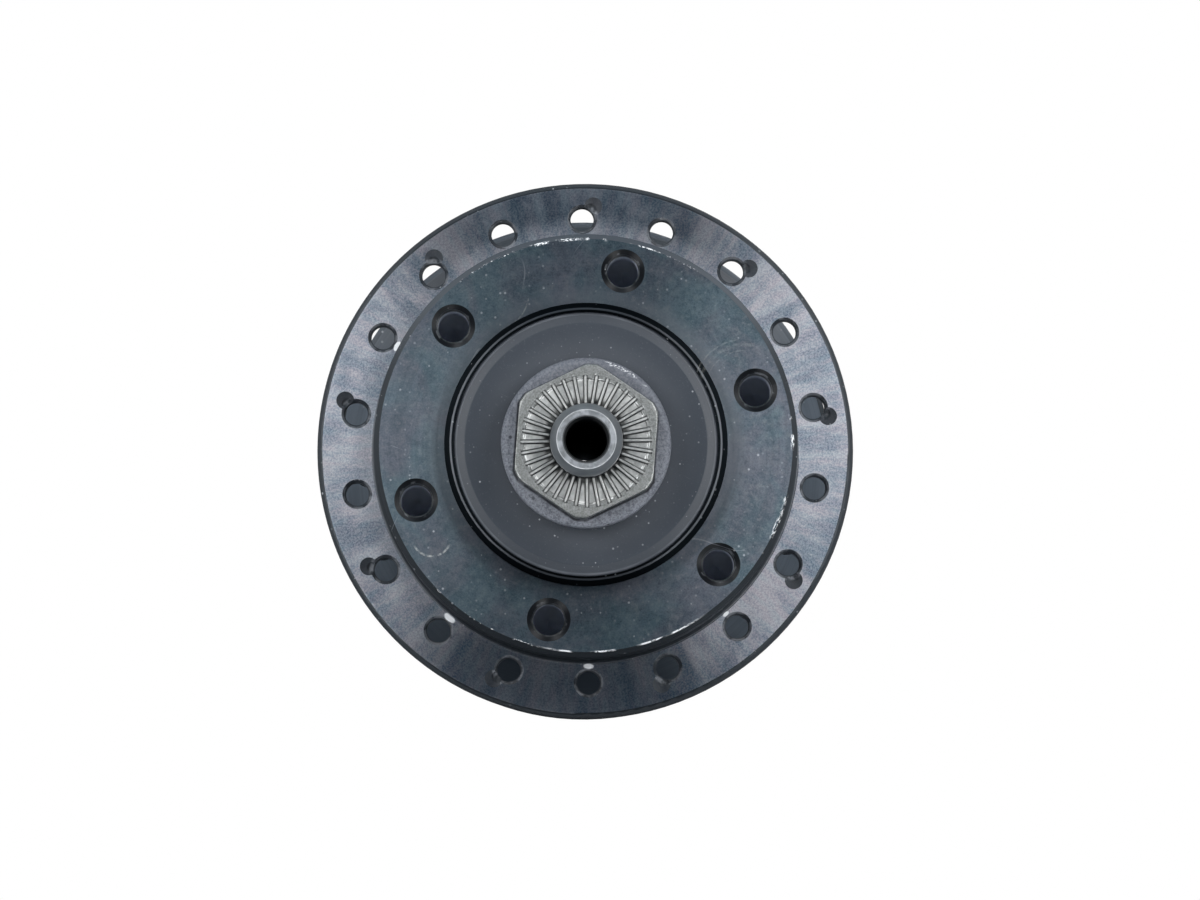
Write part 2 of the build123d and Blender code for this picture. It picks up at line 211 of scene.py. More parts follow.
# Scuffs in the disc face: middle, radius, width, middle of the arc, half of it and strength
SCUFFS = ((-0.0190, -0.0113, 0.0024, 0.00018, 4.75, 1.05, 0.45),
          (0.0196, 0.0068, 0.0056, 0.00030, 2.1, 0.8, 0.10),
          (0.0196, 0.0068, 0.0063, 0.00014, 2.3, 0.6, 0.14),
          (0.0196, 0.0068, 0.0049, 0.00012, 2.0, 0.7, 0.10),
          (-0.0120, 0.0190, 0.0050, 0.00012, 5.6, 0.5, 0.25))

# Soft lights round the camera: name, degrees round the axle, degrees off the axle, distance, width, height,
# watts and how much redder than blue
LIGHTS = (
    ("light_right", -4.0, 38.0, 0.90, 0.42, 1.65, 16.2, 0.0),
    ("light_left", 178.0, 38.0, 0.90, 0.42, 1.15, 10.4, 0.0),
    ("light_top", 95.0, 62.0, 0.90, 0.70, 0.30, 1.4, -0.24),
    ("light_behind", 60.0, 150.0, 1.00, 0.80, 0.60, 8.0, 0.0),
)


def put_mesh(name, vertices, faces, crease):
    """A new mesh object from points and quads; edges that bend by more than crease degrees stay sharp."""
    mesh = bpy.data.meshes.new(name)
    mesh.vertices.add(len(vertices))
    mesh.vertices.foreach_set("co", np.ascontiguousarray(vertices, np.float32).ravel())
    mesh.loops.add(faces.size)
    mesh.loops.foreach_set("vertex_index", np.ascontiguousarray(faces, np.int32).ravel())
    mesh.polygons.add(len(faces))
    mesh.polygons.foreach_set("loop_start", np.arange(0, faces.size, 4, dtype=np.int32))
    mesh.update(calc_edges=True)
    mesh.validate()
    mesh.shade_smooth()
    mesh.set_sharp_from_angle(angle=math.radians(crease))
    piece = bpy.data.objects.new(name, mesh)
    bpy.context.scene.collection.objects.link(piece)
    return piece


def closed_skin(name, grids, crease=35.0, grime_and_shade=None):
    """One object from grids of points that close on themselves both ways, as a ring does.

    A grid is rows by columns by three. Each quad joins a point to the next in its row and in its column,
    round the end. Where the volume inside, the sum of the corners' triple products, comes out negative, the
    quads are turned over, so that faces point outwards. Grime and painted shade, from 0 to 1 for each point,
    are kept for the material.
    """
    vertices, faces, start = [], [], 0
    for grid in grids:
        rows, columns = grid.shape[:2]
        index = np.arange(rows * columns).reshape(rows, columns)
        along, up = np.roll(index, -1, 1), np.roll(index, -1, 0)
        quads = np.stack([index, along, np.roll(up, -1, 1), up], -1).reshape(-1, 4)
        points = grid.reshape(-1, 3)
        a, b, c, d = (points[quads[:, i]] for i in range(4))
        if (a * np.cross(b, c)).sum() + (a * np.cross(c, d)).sum() < 0:
            quads = quads[:, ::-1]
        vertices.append(points)
        faces.append(quads + start)
        start += len(points)
    piece = put_mesh(name, np.concatenate(vertices), np.concatenate(faces), crease)
    if grime_and_shade is not None:
        kept = piece.data.attributes.new("grime_and_shade", "FLOAT", "POINT")
        kept.data.foreach_set("value", np.ascontiguousarray(grime_and_shade, np.float32).ravel())
    return piece


def round_axle(along, radius, angle):
    """Points at those distances along the axle, radii and angles, which broadcast against each other."""
    along, radius, angle = np.broadcast_arrays(along, radius, angle)
    return np.stack([radius * np.cos(angle), along, radius * np.sin(angle)], -1)


def rounded_profile(corners, steps=4):
    """A closed profile through (along, radius, rounding) corners, rounded by quadratic arcs of some steps."""
    points = np.array([corner[:2] for corner in corners], float)
    reach = np.array([corner[2] if len(corner) > 2 else 0.0 for corner in corners])
    back, ahead = np.roll(points, 1, 0) - points, np.roll(points, -1, 0) - points
    back /= np.linalg.norm(back, axis=1)[:, None]
    ahead /= np.linalg.norm(ahead, axis=1)[:, None]
    path = []
    for point, b, a, r in zip(points, back, ahead, reach):
        if r <= 0:
            path.append(point[None])
            continue
        t = np.linspace(0, 1, steps + 1)[:, None]
        path.append((1 - t) ** 2 * (point + b * r) + 2 * t * (1 - t) * point + t**2 * (point + a * r))
    return np.concatenate(path)


def smooth_step(value, low, high):
    """0 below low, 1 above high, and a smooth rise between."""
    t = np.clip((value - low) / (high - low), 0, 1)
    return t * t * (3 - 2 * t)


def thread_wave(phase, crest=0.18, root=0.22):
    """Thread profile over one turn: 1 on the crest, 0 on the root and straight flanks between."""
    off = np.abs((phase % 1.0) - 0.5) * 2
    return np.clip((off - root) / (1 - crest - root), 0, 1)


def waviness(angle, seed, waves=7, first=2):
    """A sum of sines round a circle with seeded sizes and phases, about 1 high."""
    rng = np.random.default_rng(seed)
    total = np.zeros_like(angle)
    for wave in range(first, first + waves):
        total = total + rng.normal() / wave * np.sin(wave * angle + rng.uniform(0, TURN))
    return total


def finish_piece(piece, body, slot, material, *nodes):
    """Gives a new piece its finish and the body that it rides on, and hides the CAD nodes that it stands for.
    """
    piece.data.materials.append(material)
    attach(piece, body)
    if nodes:
        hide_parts(*nodes)
    return piece


def math_node(operation):
    """A method of Wires for one operation of the Math node."""

    def add(self, *values, clamp=False):
        return self.put("ShaderNodeMath", *values, operation=operation, use_clamp=clamp)

    return add


class Wires:
    """Adds nodes to a tree and joins them. Any input takes a number, a tuple or another node's output."""

    plus, less, product, over = map(math_node, ("ADD", "SUBTRACT", "MULTIPLY", "DIVIDE"))
    most, size, root, modulo = map(math_node, ("MAXIMUM", "ABSOLUTE", "SQRT", "FLOORED_MODULO"))
    cos, sin, arctan2, nearest, below = map(math_node, ("COSINE", "SINE", "ARCTAN2", "ROUND", "LESS_THAN"))

    def __init__(self, tree):
        self.tree = tree

    def join(self, socket, value):
        if isinstance(value, bpy.types.NodeSocket):
            self.tree.links.new(value, socket)
        else:
            socket.default_value = value

    def fill(self, inputs, **values):
        """Fills inputs by name, with underscores for spaces."""
        for key, value in values.items():
            self.join(inputs[key.replace("_", " ")], value)

    def put(self, kind, *values, out=0, named=None, **settings):
        """A node with its inputs filled in order and by name; returns the output asked for."""
        node = self.tree.nodes.new(kind)
        for key, value in settings.items():
            setattr(node, key, value)
        for socket, value in zip(node.inputs, values):
            self.join(socket, value)
        self.fill(node.inputs, **(named or {}))
        return node if out is None else node.outputs[out]

    def times(self, *values):
        total = values[0]
        for value in values[1:]:
            total = self.product(total, value)
        return total

    def hypot(self, x, y):
        return self.root(self.plus(self.product(x, x), self.product(y, y)))

    def facing(self, angle, degrees):
        """1 towards those degrees round the axle, 0 across and -1 away."""
        return self.cos(self.less(angle, math.radians(degrees)))

    def rise(self, value, low, high, start=0.0, end=1.0):
        """A smooth step from start to end as value goes from low to high."""
        return self.put("ShaderNodeMapRange", value, low, high, start, end, interpolation_type="SMOOTHSTEP")

    def fall(self, value, low, high):
        return self.rise(value, low, high, 1.0, 0.0)

    def band(self, value, low, full, less, high):
        """1 from full to less, and 0 below low and above high."""
        return self.product(self.rise(value, low, full), self.fall(value, less, high))

    def blend(self, mask, base, over, how="MIX"):
        """Colour over on colour base, where the mask is 1."""
        node = self.tree.nodes.new("ShaderNodeMix")
        node.data_type, node.blend_type = "RGBA", how
        self.join(node.inputs[0], mask)
        for socket, value in ((node.inputs[6], base), (node.inputs[7], over)):
            self.join(socket, value if isinstance(value, bpy.types.NodeSocket) else (*value, 1.0))
        return node.outputs[2]

    def layers(self, tone, *coats):
        """Colours over a tone, one after another, each where its mask is 1."""
        for mask, over in coats:
            tone = self.blend(mask, tone, over)
        return tone

    def vector(self, x, y, z):
        return self.put("ShaderNodeCombineXYZ", x, y, z)

    def noise(self, vector, scale, detail=2.0, roughness=0.5, distortion=0.0):
        named = {"Vector": vector, "Scale": scale, "Detail": detail, "Roughness": roughness,
                 "Distortion": distortion}
        return self.put("ShaderNodeTexNoise", named=named)

    def bump(self, height, distance, strength):
        """A normal from a height; distance is the height of 1 in metres."""
        named = {"Strength": strength, "Distance": distance, "Height": height}
        return self.put("ShaderNodeBump", named=named)

    def group(self, name, out=0, **values):
        """Places one of the shared node groups and fills its inputs."""
        node = self.put("ShaderNodeGroup", out=None, node_tree=bpy.data.node_groups[name])
        self.fill(node.inputs, **values)
        return node if out is None else node.outputs[out]

    def here(self):
        """Object coordinates, as a vector and apart."""
        vector = self.put("ShaderNodeTexCoord", out="Object")
        apart = self.put("ShaderNodeSeparateXYZ", vector, out=None)
        return (vector, *apart.outputs)

    def round_axle(self):
        """Radius, distance along the axle and angle of the point shown."""
        return self.group("Round the axle", out=None).outputs

    def specks(self, scale, size, amount):
        return self.group("Specks", Scale=scale, Size=size, Amount=amount)

    def turning(self, pitch, along):
        """Rings and bands of the turning marks."""
        return self.group("Turning marks", out=None, Pitch=pitch, Along_the_ring=along).outputs


def new_group(name, inputs, outputs):
    """An empty node group with float sockets; returns its wires, its inputs and its output's sockets."""
    tree = bpy.data.node_groups.new(name, "ShaderNodeTree")
    for key, value in inputs.items():
        socket = tree.interface.new_socket(name=key, in_out="INPUT", socket_type="NodeSocketFloat")
        socket.default_value = value
    for key in outputs:
        tree.interface.new_socket(name=key, in_out="OUTPUT", socket_type="NodeSocketFloat")
    given = tree.nodes.new("NodeGroupInput").outputs
    result = tree.nodes.new("NodeGroupOutput").inputs
    return Wires(tree), given, result


def group_round_axle():
    """Radius, distance along the axle and angle of the point shown."""
    w, _, result = new_group("Round the axle", {}, ("Radius", "Along", "Angle"))
    _, x, y, z = w.here()
    w.join(result["Radius"], w.hypot(x, z))
    w.join(result["Along"], y)
    w.join(result["Angle"], w.arctan2(z, x))


def group_turning_marks():
    """Rings left by the lathe: noise that changes fast across the rings and slowly along them."""
    inputs = {"Pitch": 0.0002, "Along the ring": 1.0}
    w, given, result = new_group("Turning marks", inputs, ("Rings", "Bands"))
    radius, along, angle = w.round_axle()
    fine = w.over(w.plus(radius, along), given["Pitch"])
    east = w.times(w.cos(angle), given["Along the ring"])
    north = w.times(w.sin(angle), given["Along the ring"])
    rings = w.noise(w.vector(fine, east, north), 1.0, 3.0, 0.6)
    bands = w.noise(w.vector(w.times(fine, 0.09), w.times(east, 0.6), w.times(north, 0.6)), 1.0, 2.0, 0.5)
    w.join(result["Rings"], rings)
    w.join(result["Bands"], bands)


def group_edge_chips():
    """Chips along a turned edge: near it, within an arc and where two noises are high.

    The finer noise is drawn out round the edge: angles count less in it than the way off the edge.
    """
    w, given, result = new_group(
        "Edge chips", {"Radius": 0.026, "Along": -0.0395, "Reach": 0.0005, "Middle": 1.57, "Half arc": 0.6,
                       "Amount": 0.4, "Grain": 900.0}, ("Mask",))
    radius, along, angle = w.round_axle()
    out = w.less(radius, given["Radius"])
    away = w.less(along, given["Along"])
    distance = w.hypot(out, away)
    around = w.times(given["Grain"], 0.030)
    drawn_out = w.vector(w.times(w.cos(angle), around), w.times(w.sin(angle), around), w.times(out, 6000.0))
    ragged = w.noise(drawn_out, 1.0, 4.0, 0.65)
    band = w.fall(w.over(distance, given["Reach"]), 0.35, 1.0)
    apart = w.cos(w.less(angle, given["Middle"]))
    arc = w.rise(apart, w.cos(w.times(given["Half arc"], 1.25)), w.cos(w.times(given["Half arc"], 0.7)))
    patches = w.noise(w.here()[0], w.times(given["Grain"], 0.22), 2.0)
    level = w.less(1.0, given["Amount"])
    worn = w.times(w.rise(ragged, level, w.plus(level, 0.05)), w.rise(patches, 0.42, 0.52))
    w.join(result["Mask"], w.times(band, arc, worn))


def group_specks():
    """Round specks of dust: cells whose middle is near and whose draw is low enough."""
    w, given, result = new_group("Specks", {"Scale": 900.0, "Size": 0.2, "Amount": 0.1}, ("Mask",))
    vector = w.here()[0]
    cells = w.put("ShaderNodeTexVoronoi", out=None, named={"Vector": vector, "Scale": given["Scale"]})
    draw = w.put("ShaderNodeSeparateColor", cells.outputs["Color"], out=None)
    size = w.times(given["Size"], w.plus(w.times(draw.outputs[1], draw.outputs[1], 1.2), 0.25))
    near = w.fall(w.over(cells.outputs["Distance"], size), 0.4, 1.0)
    strength = w.plus(0.2, w.times(draw.outputs[2], draw.outputs[2], 0.8))
    w.join(result["Mask"], w.times(near, strength, w.below(draw.outputs[0], given["Amount"])))


def group_hairlines():
    """Fine wandering scratches: thin level lines of a slow noise, broken up by another."""
    w, given, result = new_group("Hairlines", {"Scale": 60.0, "Width": 0.004, "Amount": 0.5}, ("Mask",))
    vector = w.here()[0]
    slow = w.noise(vector, given["Scale"], 1.0, 0.4, 0.4)
    off = w.size(w.less(slow, 0.5))
    line = w.fall(w.over(off, given["Width"]), 0.4, 1.0)
    level = w.less(1.0, given["Amount"])
    broken = w.noise(vector, w.times(given["Scale"], 2.3), 2.0)
    w.join(result["Mask"], w.times(line, w.rise(broken, level, w.plus(level, 0.08))))


def group_hole_rims():
    """Rims of holes set evenly on a circle: 1 at the wall of each and fading over the reach."""
    w, given, result = new_group(
        "Hole rims", {"Circle": 0.029, "First": 0.19, "Pitch angle": 0.349, "Hole": 0.00145, "Reach": 0.0006},
        ("Mask",))
    radius, _, angle = w.round_axle()
    turned = w.over(w.less(angle, given["First"]), given["Pitch angle"])
    off = w.times(w.less(turned, w.nearest(turned)), given["Pitch angle"], radius)
    out = w.less(radius, given["Circle"])
    distance = w.hypot(out, off)
    beyond = w.over(w.less(distance, given["Hole"]), given["Reach"])
    w.join(result["Mask"], w.fall(beyond, 0.0, 1.0))


def make_groups():
    """Makes the shared node groups, once."""
    if "Round the axle" not in bpy.data.node_groups:
        for make in (group_round_axle, group_turning_marks, group_edge_chips, group_specks, group_hairlines,
                     group_hole_rims):
            make()


def new_material(name, preview):
    """A material with its Principled shader, whose constant values are set on the shader itself."""
    make_groups()
    material = bpy.data.materials.new(name)
    material.use_nodes = True
    material.diffuse_color = (*preview, 1.0)
    tree = material.node_tree
    tree.nodes.clear()
    shader = tree.nodes.new("ShaderNodeBsdfPrincipled")
    tree.links.new(shader.outputs[0], tree.nodes.new("ShaderNodeOutputMaterial").inputs[0])
    return material, Wires(tree), shader.inputs


def worn_arcs(w, vector, arcs, grain):
    """Pale scuffs along arcs in the disc face, as the table gives them."""
    _, x, _, z = w.here()
    ragged = w.rise(w.noise(vector, grain, 3.0, 0.7), 0.36, 0.62)
    total = 0.0
    for east, north, radius, width, middle, half, strength in arcs:
        right, up = w.less(x, east), w.less(z, north)
        away = w.hypot(right, up)
        line = w.fall(w.over(w.size(w.less(away, radius)), width), 0.3, 1.0)
        turn = w.cos(w.less(w.arctan2(up, right), middle))
        arc = w.rise(turn, math.cos(half * 1.15), math.cos(half * 0.8))
        total = w.most(total, w.times(line, arc, ragged, strength))
    return total


def make_anodised(colours):
    """Black anodised aluminium: cloudy turned faces, flanges rubbed paler, bevels painted dark as shade, chips
    and dust, with painted light and shade by the register, boss, flange rims and rotor holes.
    """
    material, w, shader = new_material("anodised aluminium", colours.anodised)
    vector, x, y, z = w.here()
    radius, _, angle = w.round_axle()
    behind = w.plus(y, DISC_FACE)
    rings, bands = w.turning(0.00022, 2.5)
    normal = w.put("ShaderNodeSeparateXYZ", w.put("ShaderNodeTexCoord", out="Normal"), out="Y")
    square = w.rise(w.size(normal), 0.982, 0.9995)

    # Regions: the flanges with the way out from their middle and the marks in their outer faces, barrel,
    # rotor holes
    at_right = w.rise(y, 0.0, 0.001)
    across = w.less(y, w.plus(LEFT_FLANGE, w.times(at_right, RIGHT_FLANGE - LEFT_FLANGE)))
    outward = w.times(across, w.less(w.times(at_right, 2.0), 1.0))
    whole_face = w.most(at_right, w.fall(outward, -0.0005, 0.0))
    from_start = w.less(radius, w.less(BOSS_R, w.times(whole_face, BOSS_R - BARREL_R)))
    on_flange = w.times(w.rise(from_start, -0.0002, 0.0001),
                        w.fall(w.size(across), FLANGE_HALF + 0.0001, FLANGE_HALF + 0.0003))
    sunk = w.less(FLANGE_HALF, outward)
    outer_face = w.times(on_flange, w.fall(sunk, 0.0012, 0.0014))
    spoke_holes = {"Circle": w.plus(SPOKES_R, w.times(at_right, RIGHT_SPOKES_R - SPOKES_R)),
                   "First": w.plus(SPOKE_TURN, w.times(at_right, TURN / SPOKES / 2)),
                   "Pitch_angle": TURN / SPOKES}
    walls = w.group("Hole rims", Hole=SPOKE_HOLE_R + 0.00002, Reach=0.00022, **spoke_holes)
    inside = w.times(outer_face, w.rise(from_start, 0.0003, 0.0006),
                     w.fall(radius, FLANGE_R - 0.0016, FLANGE_R - 0.0012), w.less(1.0, walls))
    flat = w.most(square, inside)
    # The spokes' elbow marks: painted shade in their dents and on their tilted walls, darkest in their bites
    print_mark = w.most(w.times(outer_face, w.rise(sunk, 0.00003, 0.00010)),
                        w.times(inside, w.less(1.0, square)))
    bite_mark = w.times(outer_face, w.rise(sunk, 0.0003, 0.0005))
    barrel = w.band(y, BARREL_START - 0.0002, BARREL_START + 0.0004, BARREL_END - 0.0004, BARREL_END + 0.0002)
    in_hole = w.times(w.band(behind, 0.0007, 0.0012, 0.0125, 0.013),
                      w.band(radius, ROTOR_R - 0.0024, ROTOR_R - 0.0022, ROTOR_R + 0.0022, ROTOR_R + 0.0024))

    # Clouds, columns, grain and tints of the oxide: face is for turned faces, pale for the flanges' outer
    # faces, which spokes rub, with columns running outwards. Bevels and steps are painted dark as shade,
    # but grey where light from above meets them.
    clouds = w.noise(vector, 210.0, 4.0, 0.62)
    patches = w.noise(vector, 640.0, 3.0, 0.6)
    grain = w.noise(vector, 4200.0, 2.0, 0.8)
    spokewise = w.vector(w.cos(angle), w.sin(angle), w.times(radius, 9.0))
    columns = w.noise(spokewise, 9.0, 5.0, 0.66)
    tints = w.noise(spokewise, 31.0, 2.0, 0.6)
    shine = w.plus(w.plus(w.times(columns, 0.62), w.times(clouds, 0.26)), w.times(patches, 0.12))
    mottle = w.noise(vector, 1500.0, 3.0, 0.7)
    face = w.layers(
        (0.062, 0.092, 0.116),
        (w.rise(clouds, 0.34, 0.68), (0.118, 0.144, 0.176)),
        (w.rise(columns, 0.42, 0.66, 0.0, 0.35), (0.140, 0.158, 0.186)),
        (w.rise(bands, 0.4, 0.72, 0.0, 0.4), (0.058, 0.084, 0.104)),
        (w.rise(patches, 0.45, 0.7, 0.0, 0.4), (0.140, 0.165, 0.185)),
        (w.rise(patches, 0.30, 0.48, 0.3, 0.0), (0.050, 0.070, 0.092)),
        (w.rise(mottle, 0.53, 0.66, 0.0, 0.45), (0.175, 0.195, 0.210)),
        (w.rise(mottle, 0.34, 0.47, 0.5, 0.0), (0.040, 0.058, 0.078)),
        (0.20, w.blend(w.rise(grain, 0.30, 0.70), (0.02, 0.035, 0.045), (0.19, 0.21, 0.23))))
    hues = w.rise(w.noise(vector, 120.0, 3.0, 0.6, 0.6), 0.38, 0.62)
    face = w.blend(0.8, face, w.blend(hues, (1.0, 0.90, 0.93), (0.84, 1.0, 1.0)), "MULTIPLY")
    # Painted light: a paler ring on the disc face by the register, strongest to the top and right; and painted
    # shade over the face's left half
    register_light = w.times(w.rise(radius, 0.0182, 0.0206, 0.45, 0.0), w.rise(z, -0.016, -0.004, 0.2, 1.0),
                          w.rise(x, -0.016, 0.0, 0.7, 1.0))
    face = w.layers(
        face,
        (w.rise(x, -0.020, 0.004, 0.26, 0.0), (0.030, 0.040, 0.052)),
        (register_light, (0.185, 0.205, 0.232)))
    pale = w.layers(
        (0.160, 0.207, 0.272),
        (w.rise(shine, 0.40, 0.60), (0.450, 0.444, 0.486)),
        (0.32, w.blend(w.rise(grain, 0.34, 0.66), (0.09, 0.12, 0.16), (0.68, 0.67, 0.66))))
    pale = w.blend(0.7, pale, w.blend(w.rise(tints, 0.35, 0.65), (0.90, 0.98, 1.0), (1.0, 0.94, 0.96)),
                   "MULTIPLY")
    # The flange's outer face by the boss is painted darker on the left, as shade, and its metal is lowered
    # towards the top
    boss_shade_ring = w.times(outer_face, w.fall(radius, BOSS_R + 0.0009, SPOKES_R + 0.0010))
    # A painted highlight line on the flange's rim, stronger to the lower right
    rim_highlight = w.band(radius, FLANGE_R - 0.00062, FLANGE_R - 0.00050, FLANGE_R - 0.00042, FLANGE_R - 0.00034)
    low_right = w.rise(w.less(x, z), 0.018, 0.042, 0.10, 0.42)
    pale = w.layers(
        pale,
        (w.times(boss_shade_ring, w.rise(x, -0.024, -0.014, 0.36, 0.0)), (0.06, 0.075, 0.095)),
        (w.times(print_mark, 0.95), (0.018, 0.022, 0.028)),
        (bite_mark, colours.edges),
        (w.times(rim_highlight, low_right), (0.50, 0.52, 0.55)))
    # The flanges' inner sides are painted lighter towards the top, as light from above
    inner_side_top_lit = w.blend(w.rise(z, 0.010, 0.024), (0.105, 0.125, 0.150), (0.200, 0.214, 0.232))
    tone = w.blend(on_flange, face, w.blend(outer_face, inner_side_top_lit, pale))
    boss_bevel = w.times(w.rise(radius, BOSS_R - 0.0009, BOSS_R - 0.0007), w.fall(behind, 0.0007, 0.0009))
    far_rim = w.times(at_right, w.rise(radius, 0.0315, 0.0317), w.rise(sunk, 0.0018, 0.0021))
    upper_edge = w.times(w.most(boss_bevel, far_rim), w.rise(z, 0.008, 0.022))
    bevel = w.blend(upper_edge, colours.edges, (0.105, 0.118, 0.135))
    tone = w.layers(
        bevel,
        (flat, tone),
        (barrel, w.blend(0.45, face, (0.045, 0.060, 0.078))))

    # The register's bevel is painted black as shade, with a painted highlight line on its end face; the rotor
    # holes' countersinks are painted dark as shade with a painted highlight ring, and inside, the holes are
    # painted paler the deeper they go, as light
    register = w.times(w.rise(w.size(y), DISC_FACE + 0.00004, DISC_FACE + 0.0001),
                       w.fall(radius, REGISTER_R + 0.0001, REGISTER_R + 0.0002))
    at_end = w.times(w.rise(w.size(y), SHELL_END - 0.00008, SHELL_END - 0.00002),
                     w.rise(radius, CAP_R + 0.00022, CAP_R + 0.0003))
    rotor_rims = w.group("Hole rims", Circle=ROTOR_R, First=ROTOR_TURN, Pitch_angle=TURN / 6,
                         Hole=ROTOR_HOLE_R, Reach=0.0009)
    sink = w.times(w.rise(rotor_rims, 0.15, 0.35), w.less(1.0, flat), w.fall(behind, 0.001, 0.002))
    mouth = w.blend(w.rise(patches, 0.48, 0.64), (0.020, 0.022, 0.025), (0.075, 0.080, 0.086))
    tone = w.layers(
        tone,
        (register, (0.006, 0.008, 0.010)),
        (at_end, (0.13, 0.14, 0.155)),
        (sink, (0.007, 0.008, 0.010)),
        (w.times(sink, w.rise(rotor_rims, 0.80, 0.92), w.rise(patches, 0.55, 0.65)), (0.085, 0.09, 0.097)),
        (in_hole, w.blend(w.rise(behind, 0.0014, 0.0040), mouth, (0.48, 0.52, 0.60))))

    # Bare metal: chips along the boss edge and at the inner side of four spoke holes
    chips = 0.0
    for middle, half, amount, reach, coarse in EDGE_WEAR:
        chips = w.most(chips, w.group("Edge chips", Radius=BOSS_R - 0.00062, Along=-DISC_FACE, Middle=middle,
                                      Half_arc=half, Amount=amount, Reach=reach, Grain=coarse))
    spoke_rims = w.group("Hole rims", Hole=SPOKE_HOLE_R + 0.00038, Reach=0.0005, **spoke_holes)
    on_left = w.times(on_flange, w.fall(y, 0.0, 0.001))
    for hole, size in BARE_HOLES:
        turn = w.less(angle, SPOKE_TURN + hole * TURN / SPOKES)
        sideways = w.times(w.sin(turn), radius)
        down = w.less(radius, SPOKES_R - SPOKE_HOLE_R - 0.00062)
        away = w.hypot(w.over(sideways, 0.00078 * size), w.over(down, 0.00036 * size))
        ragged = w.plus(away, w.times(w.less(patches, 0.5), 1.2))
        spot = w.times(w.fall(ragged, 0.75, 1.1), w.rise(w.cos(turn), 0.9, 0.95), on_left, flat)
        chips = w.most(chips, spot)
    burnished = w.times(w.rise(spoke_rims, 0.0, 0.9), outer_face, flat, w.rise(patches, 0.42, 0.6))
    specks = w.specks(620.0, 0.11, 0.035)
    fine = w.specks(1700.0, 0.26, 0.16)
    hairs = w.group("Hairlines", Scale=70.0, Width=0.0030, Amount=0.40)
    on_disc_face = w.fall(behind, 0.0003, 0.0006)
    scuffs = w.times(worn_arcs(w, vector, SCUFFS, 1700.0), on_disc_face)
    tone = w.layers(
        tone,
        (w.times(burnished, 0.35), (0.40, 0.42, 0.46)),
        (w.times(hairs, w.less(1.0, register), 0.32), (0.35, 0.37, 0.40)),
        (w.times(w.most(specks, fine), 0.55), colours.dust),
        (scuffs, (0.62, 0.63, 0.60)),
        (chips, colours.bare))

    # The dyed oxide hides part of the metal, most of it on bevels and in marks, and least on the rubbed
    # flanges
    metal = w.plus(0.75, w.times(on_flange, 0.25))
    metal = w.plus(0.6, w.times(w.less(metal, 0.6), w.most(flat, barrel)))
    metal = w.times(metal, w.less(1.0, w.times(print_mark, 0.85)),
                    w.less(1.0, w.times(boss_shade_ring, w.rise(z, -0.010, 0.022, 0.04, 0.30))))
    metal = w.most(w.times(metal, w.less(1.0, w.times(sink, 0.7))), register)
    rough = w.plus(w.rise(rings, 0.3, 0.7, 0.48, 0.58), w.times(clouds, 0.10))
    rubbed = w.plus(w.rise(shine, 0.38, 0.61, 0.325, 0.44), w.times(w.less(grain, 0.5), 0.14))
    rubbed = w.most(rubbed, 0.31)
    rough = w.plus(rough, w.times(outer_face, w.less(rubbed, rough)))
    rough = w.most(rough, w.times(print_mark, 0.8))
    height = w.plus(w.times(rings, 0.35), w.times(grain, w.plus(0.35, w.times(on_flange, 0.95))))
    height = w.less(height, w.times(chips, 0.6))
    metal = w.times(metal, w.less(1.0, w.most(in_hole, w.times(chips, 0.8))))
    w.fill(shader, Base_Color=tone, Metallic=metal, Roughness=w.plus(rough, w.times(chips, 0.1), clamp=True),
           Anisotropic=0.93, Anisotropic_Rotation=0.25,
           Tangent=w.put("ShaderNodeTangent", direction_type="RADIAL", axis="Y"),
           Normal=w.bump(height, 0.000014, 0.6))
    return material


def make_plating(colours):
    """Dull plating of the locknuts, rubbed bright on the ridges, with painted highlights on the valley floors
    and at the valleys' outer ends, and grime with painted shade on the ridges' sides.
    """
    material, w, shader = new_material("locknut plating", colours.plating)
    vector, _, y, _ = w.here()
    radius = w.round_axle()[0]
    depth = w.less(NUT_FACE, w.size(y))
    mottle = w.noise(vector, 900.0, 4.0, 0.65)
    grain = w.noise(vector, 5200.0, 2.0, 0.7)
    # Grime and painted shade from the mesh: painted shade on the ridges' sides, and grime with painted shade
    # near the axle and the bore
    grime_and_shade = w.put("ShaderNodeAttribute", out="Fac", attribute_name="grime_and_shade")
    # Crests are rubbed bright by wear; the valley floors get the same bright colour as a painted highlight
    crest = w.fall(depth, 0.00004, 0.00009)
    valley_highlight = w.times(w.rise(depth, 0.00020, 0.00030), w.fall(radius, 0.00765, 0.0078),
                     w.fall(depth, 0.0005, 0.0007))
    rubbed = w.times(w.most(crest, valley_highlight), w.rise(mottle, 0.35, 0.62, 0.45, 1.0))
    # A painted highlight line at the valleys' outer ends
    lip = w.times(w.band(radius, 0.00735, 0.00750, 0.0077, 0.0078), w.rise(depth, 0.00010, 0.00012),
                  w.rise(mottle, 0.46, 0.54))
    pits = w.specks(1500.0, 0.3, 0.05)
    glints = w.specks(1300.0, 0.25, 0.06)
    tone = w.layers(
        colours.plating,
        (w.rise(mottle, 0.42, 0.60, 0.0, 0.8), (0.178, 0.185, 0.178)),
        (w.rise(grain, 0.45, 0.62, 0.0, 0.45), (0.36, 0.37, 0.37)),
        (w.rise(grain, 0.36, 0.46, 0.4, 0.0), (0.12, 0.125, 0.12)),
        (rubbed, colours.plating_bright),
        (w.times(lip, 0.9), (0.90, 0.91, 0.90)),
        (w.times(grime_and_shade, w.rise(mottle, 0.3, 0.6, 0.72, 1.0)), colours.grime_and_shade),
        (w.times(pits, 0.6), colours.grime_and_shade),
        (w.times(glints, 0.6), (0.85, 0.85, 0.84)))
    w.fill(shader, Base_Color=tone, Metallic=0.75,
           Roughness=w.plus(w.rise(mottle, 0.3, 0.7, 0.38, 0.52), w.times(grime_and_shade, 0.2), clamp=True),
           Normal=w.bump(w.plus(w.times(grain, 0.7), w.times(mottle, 0.9)), 0.00003, 0.8))
    return material


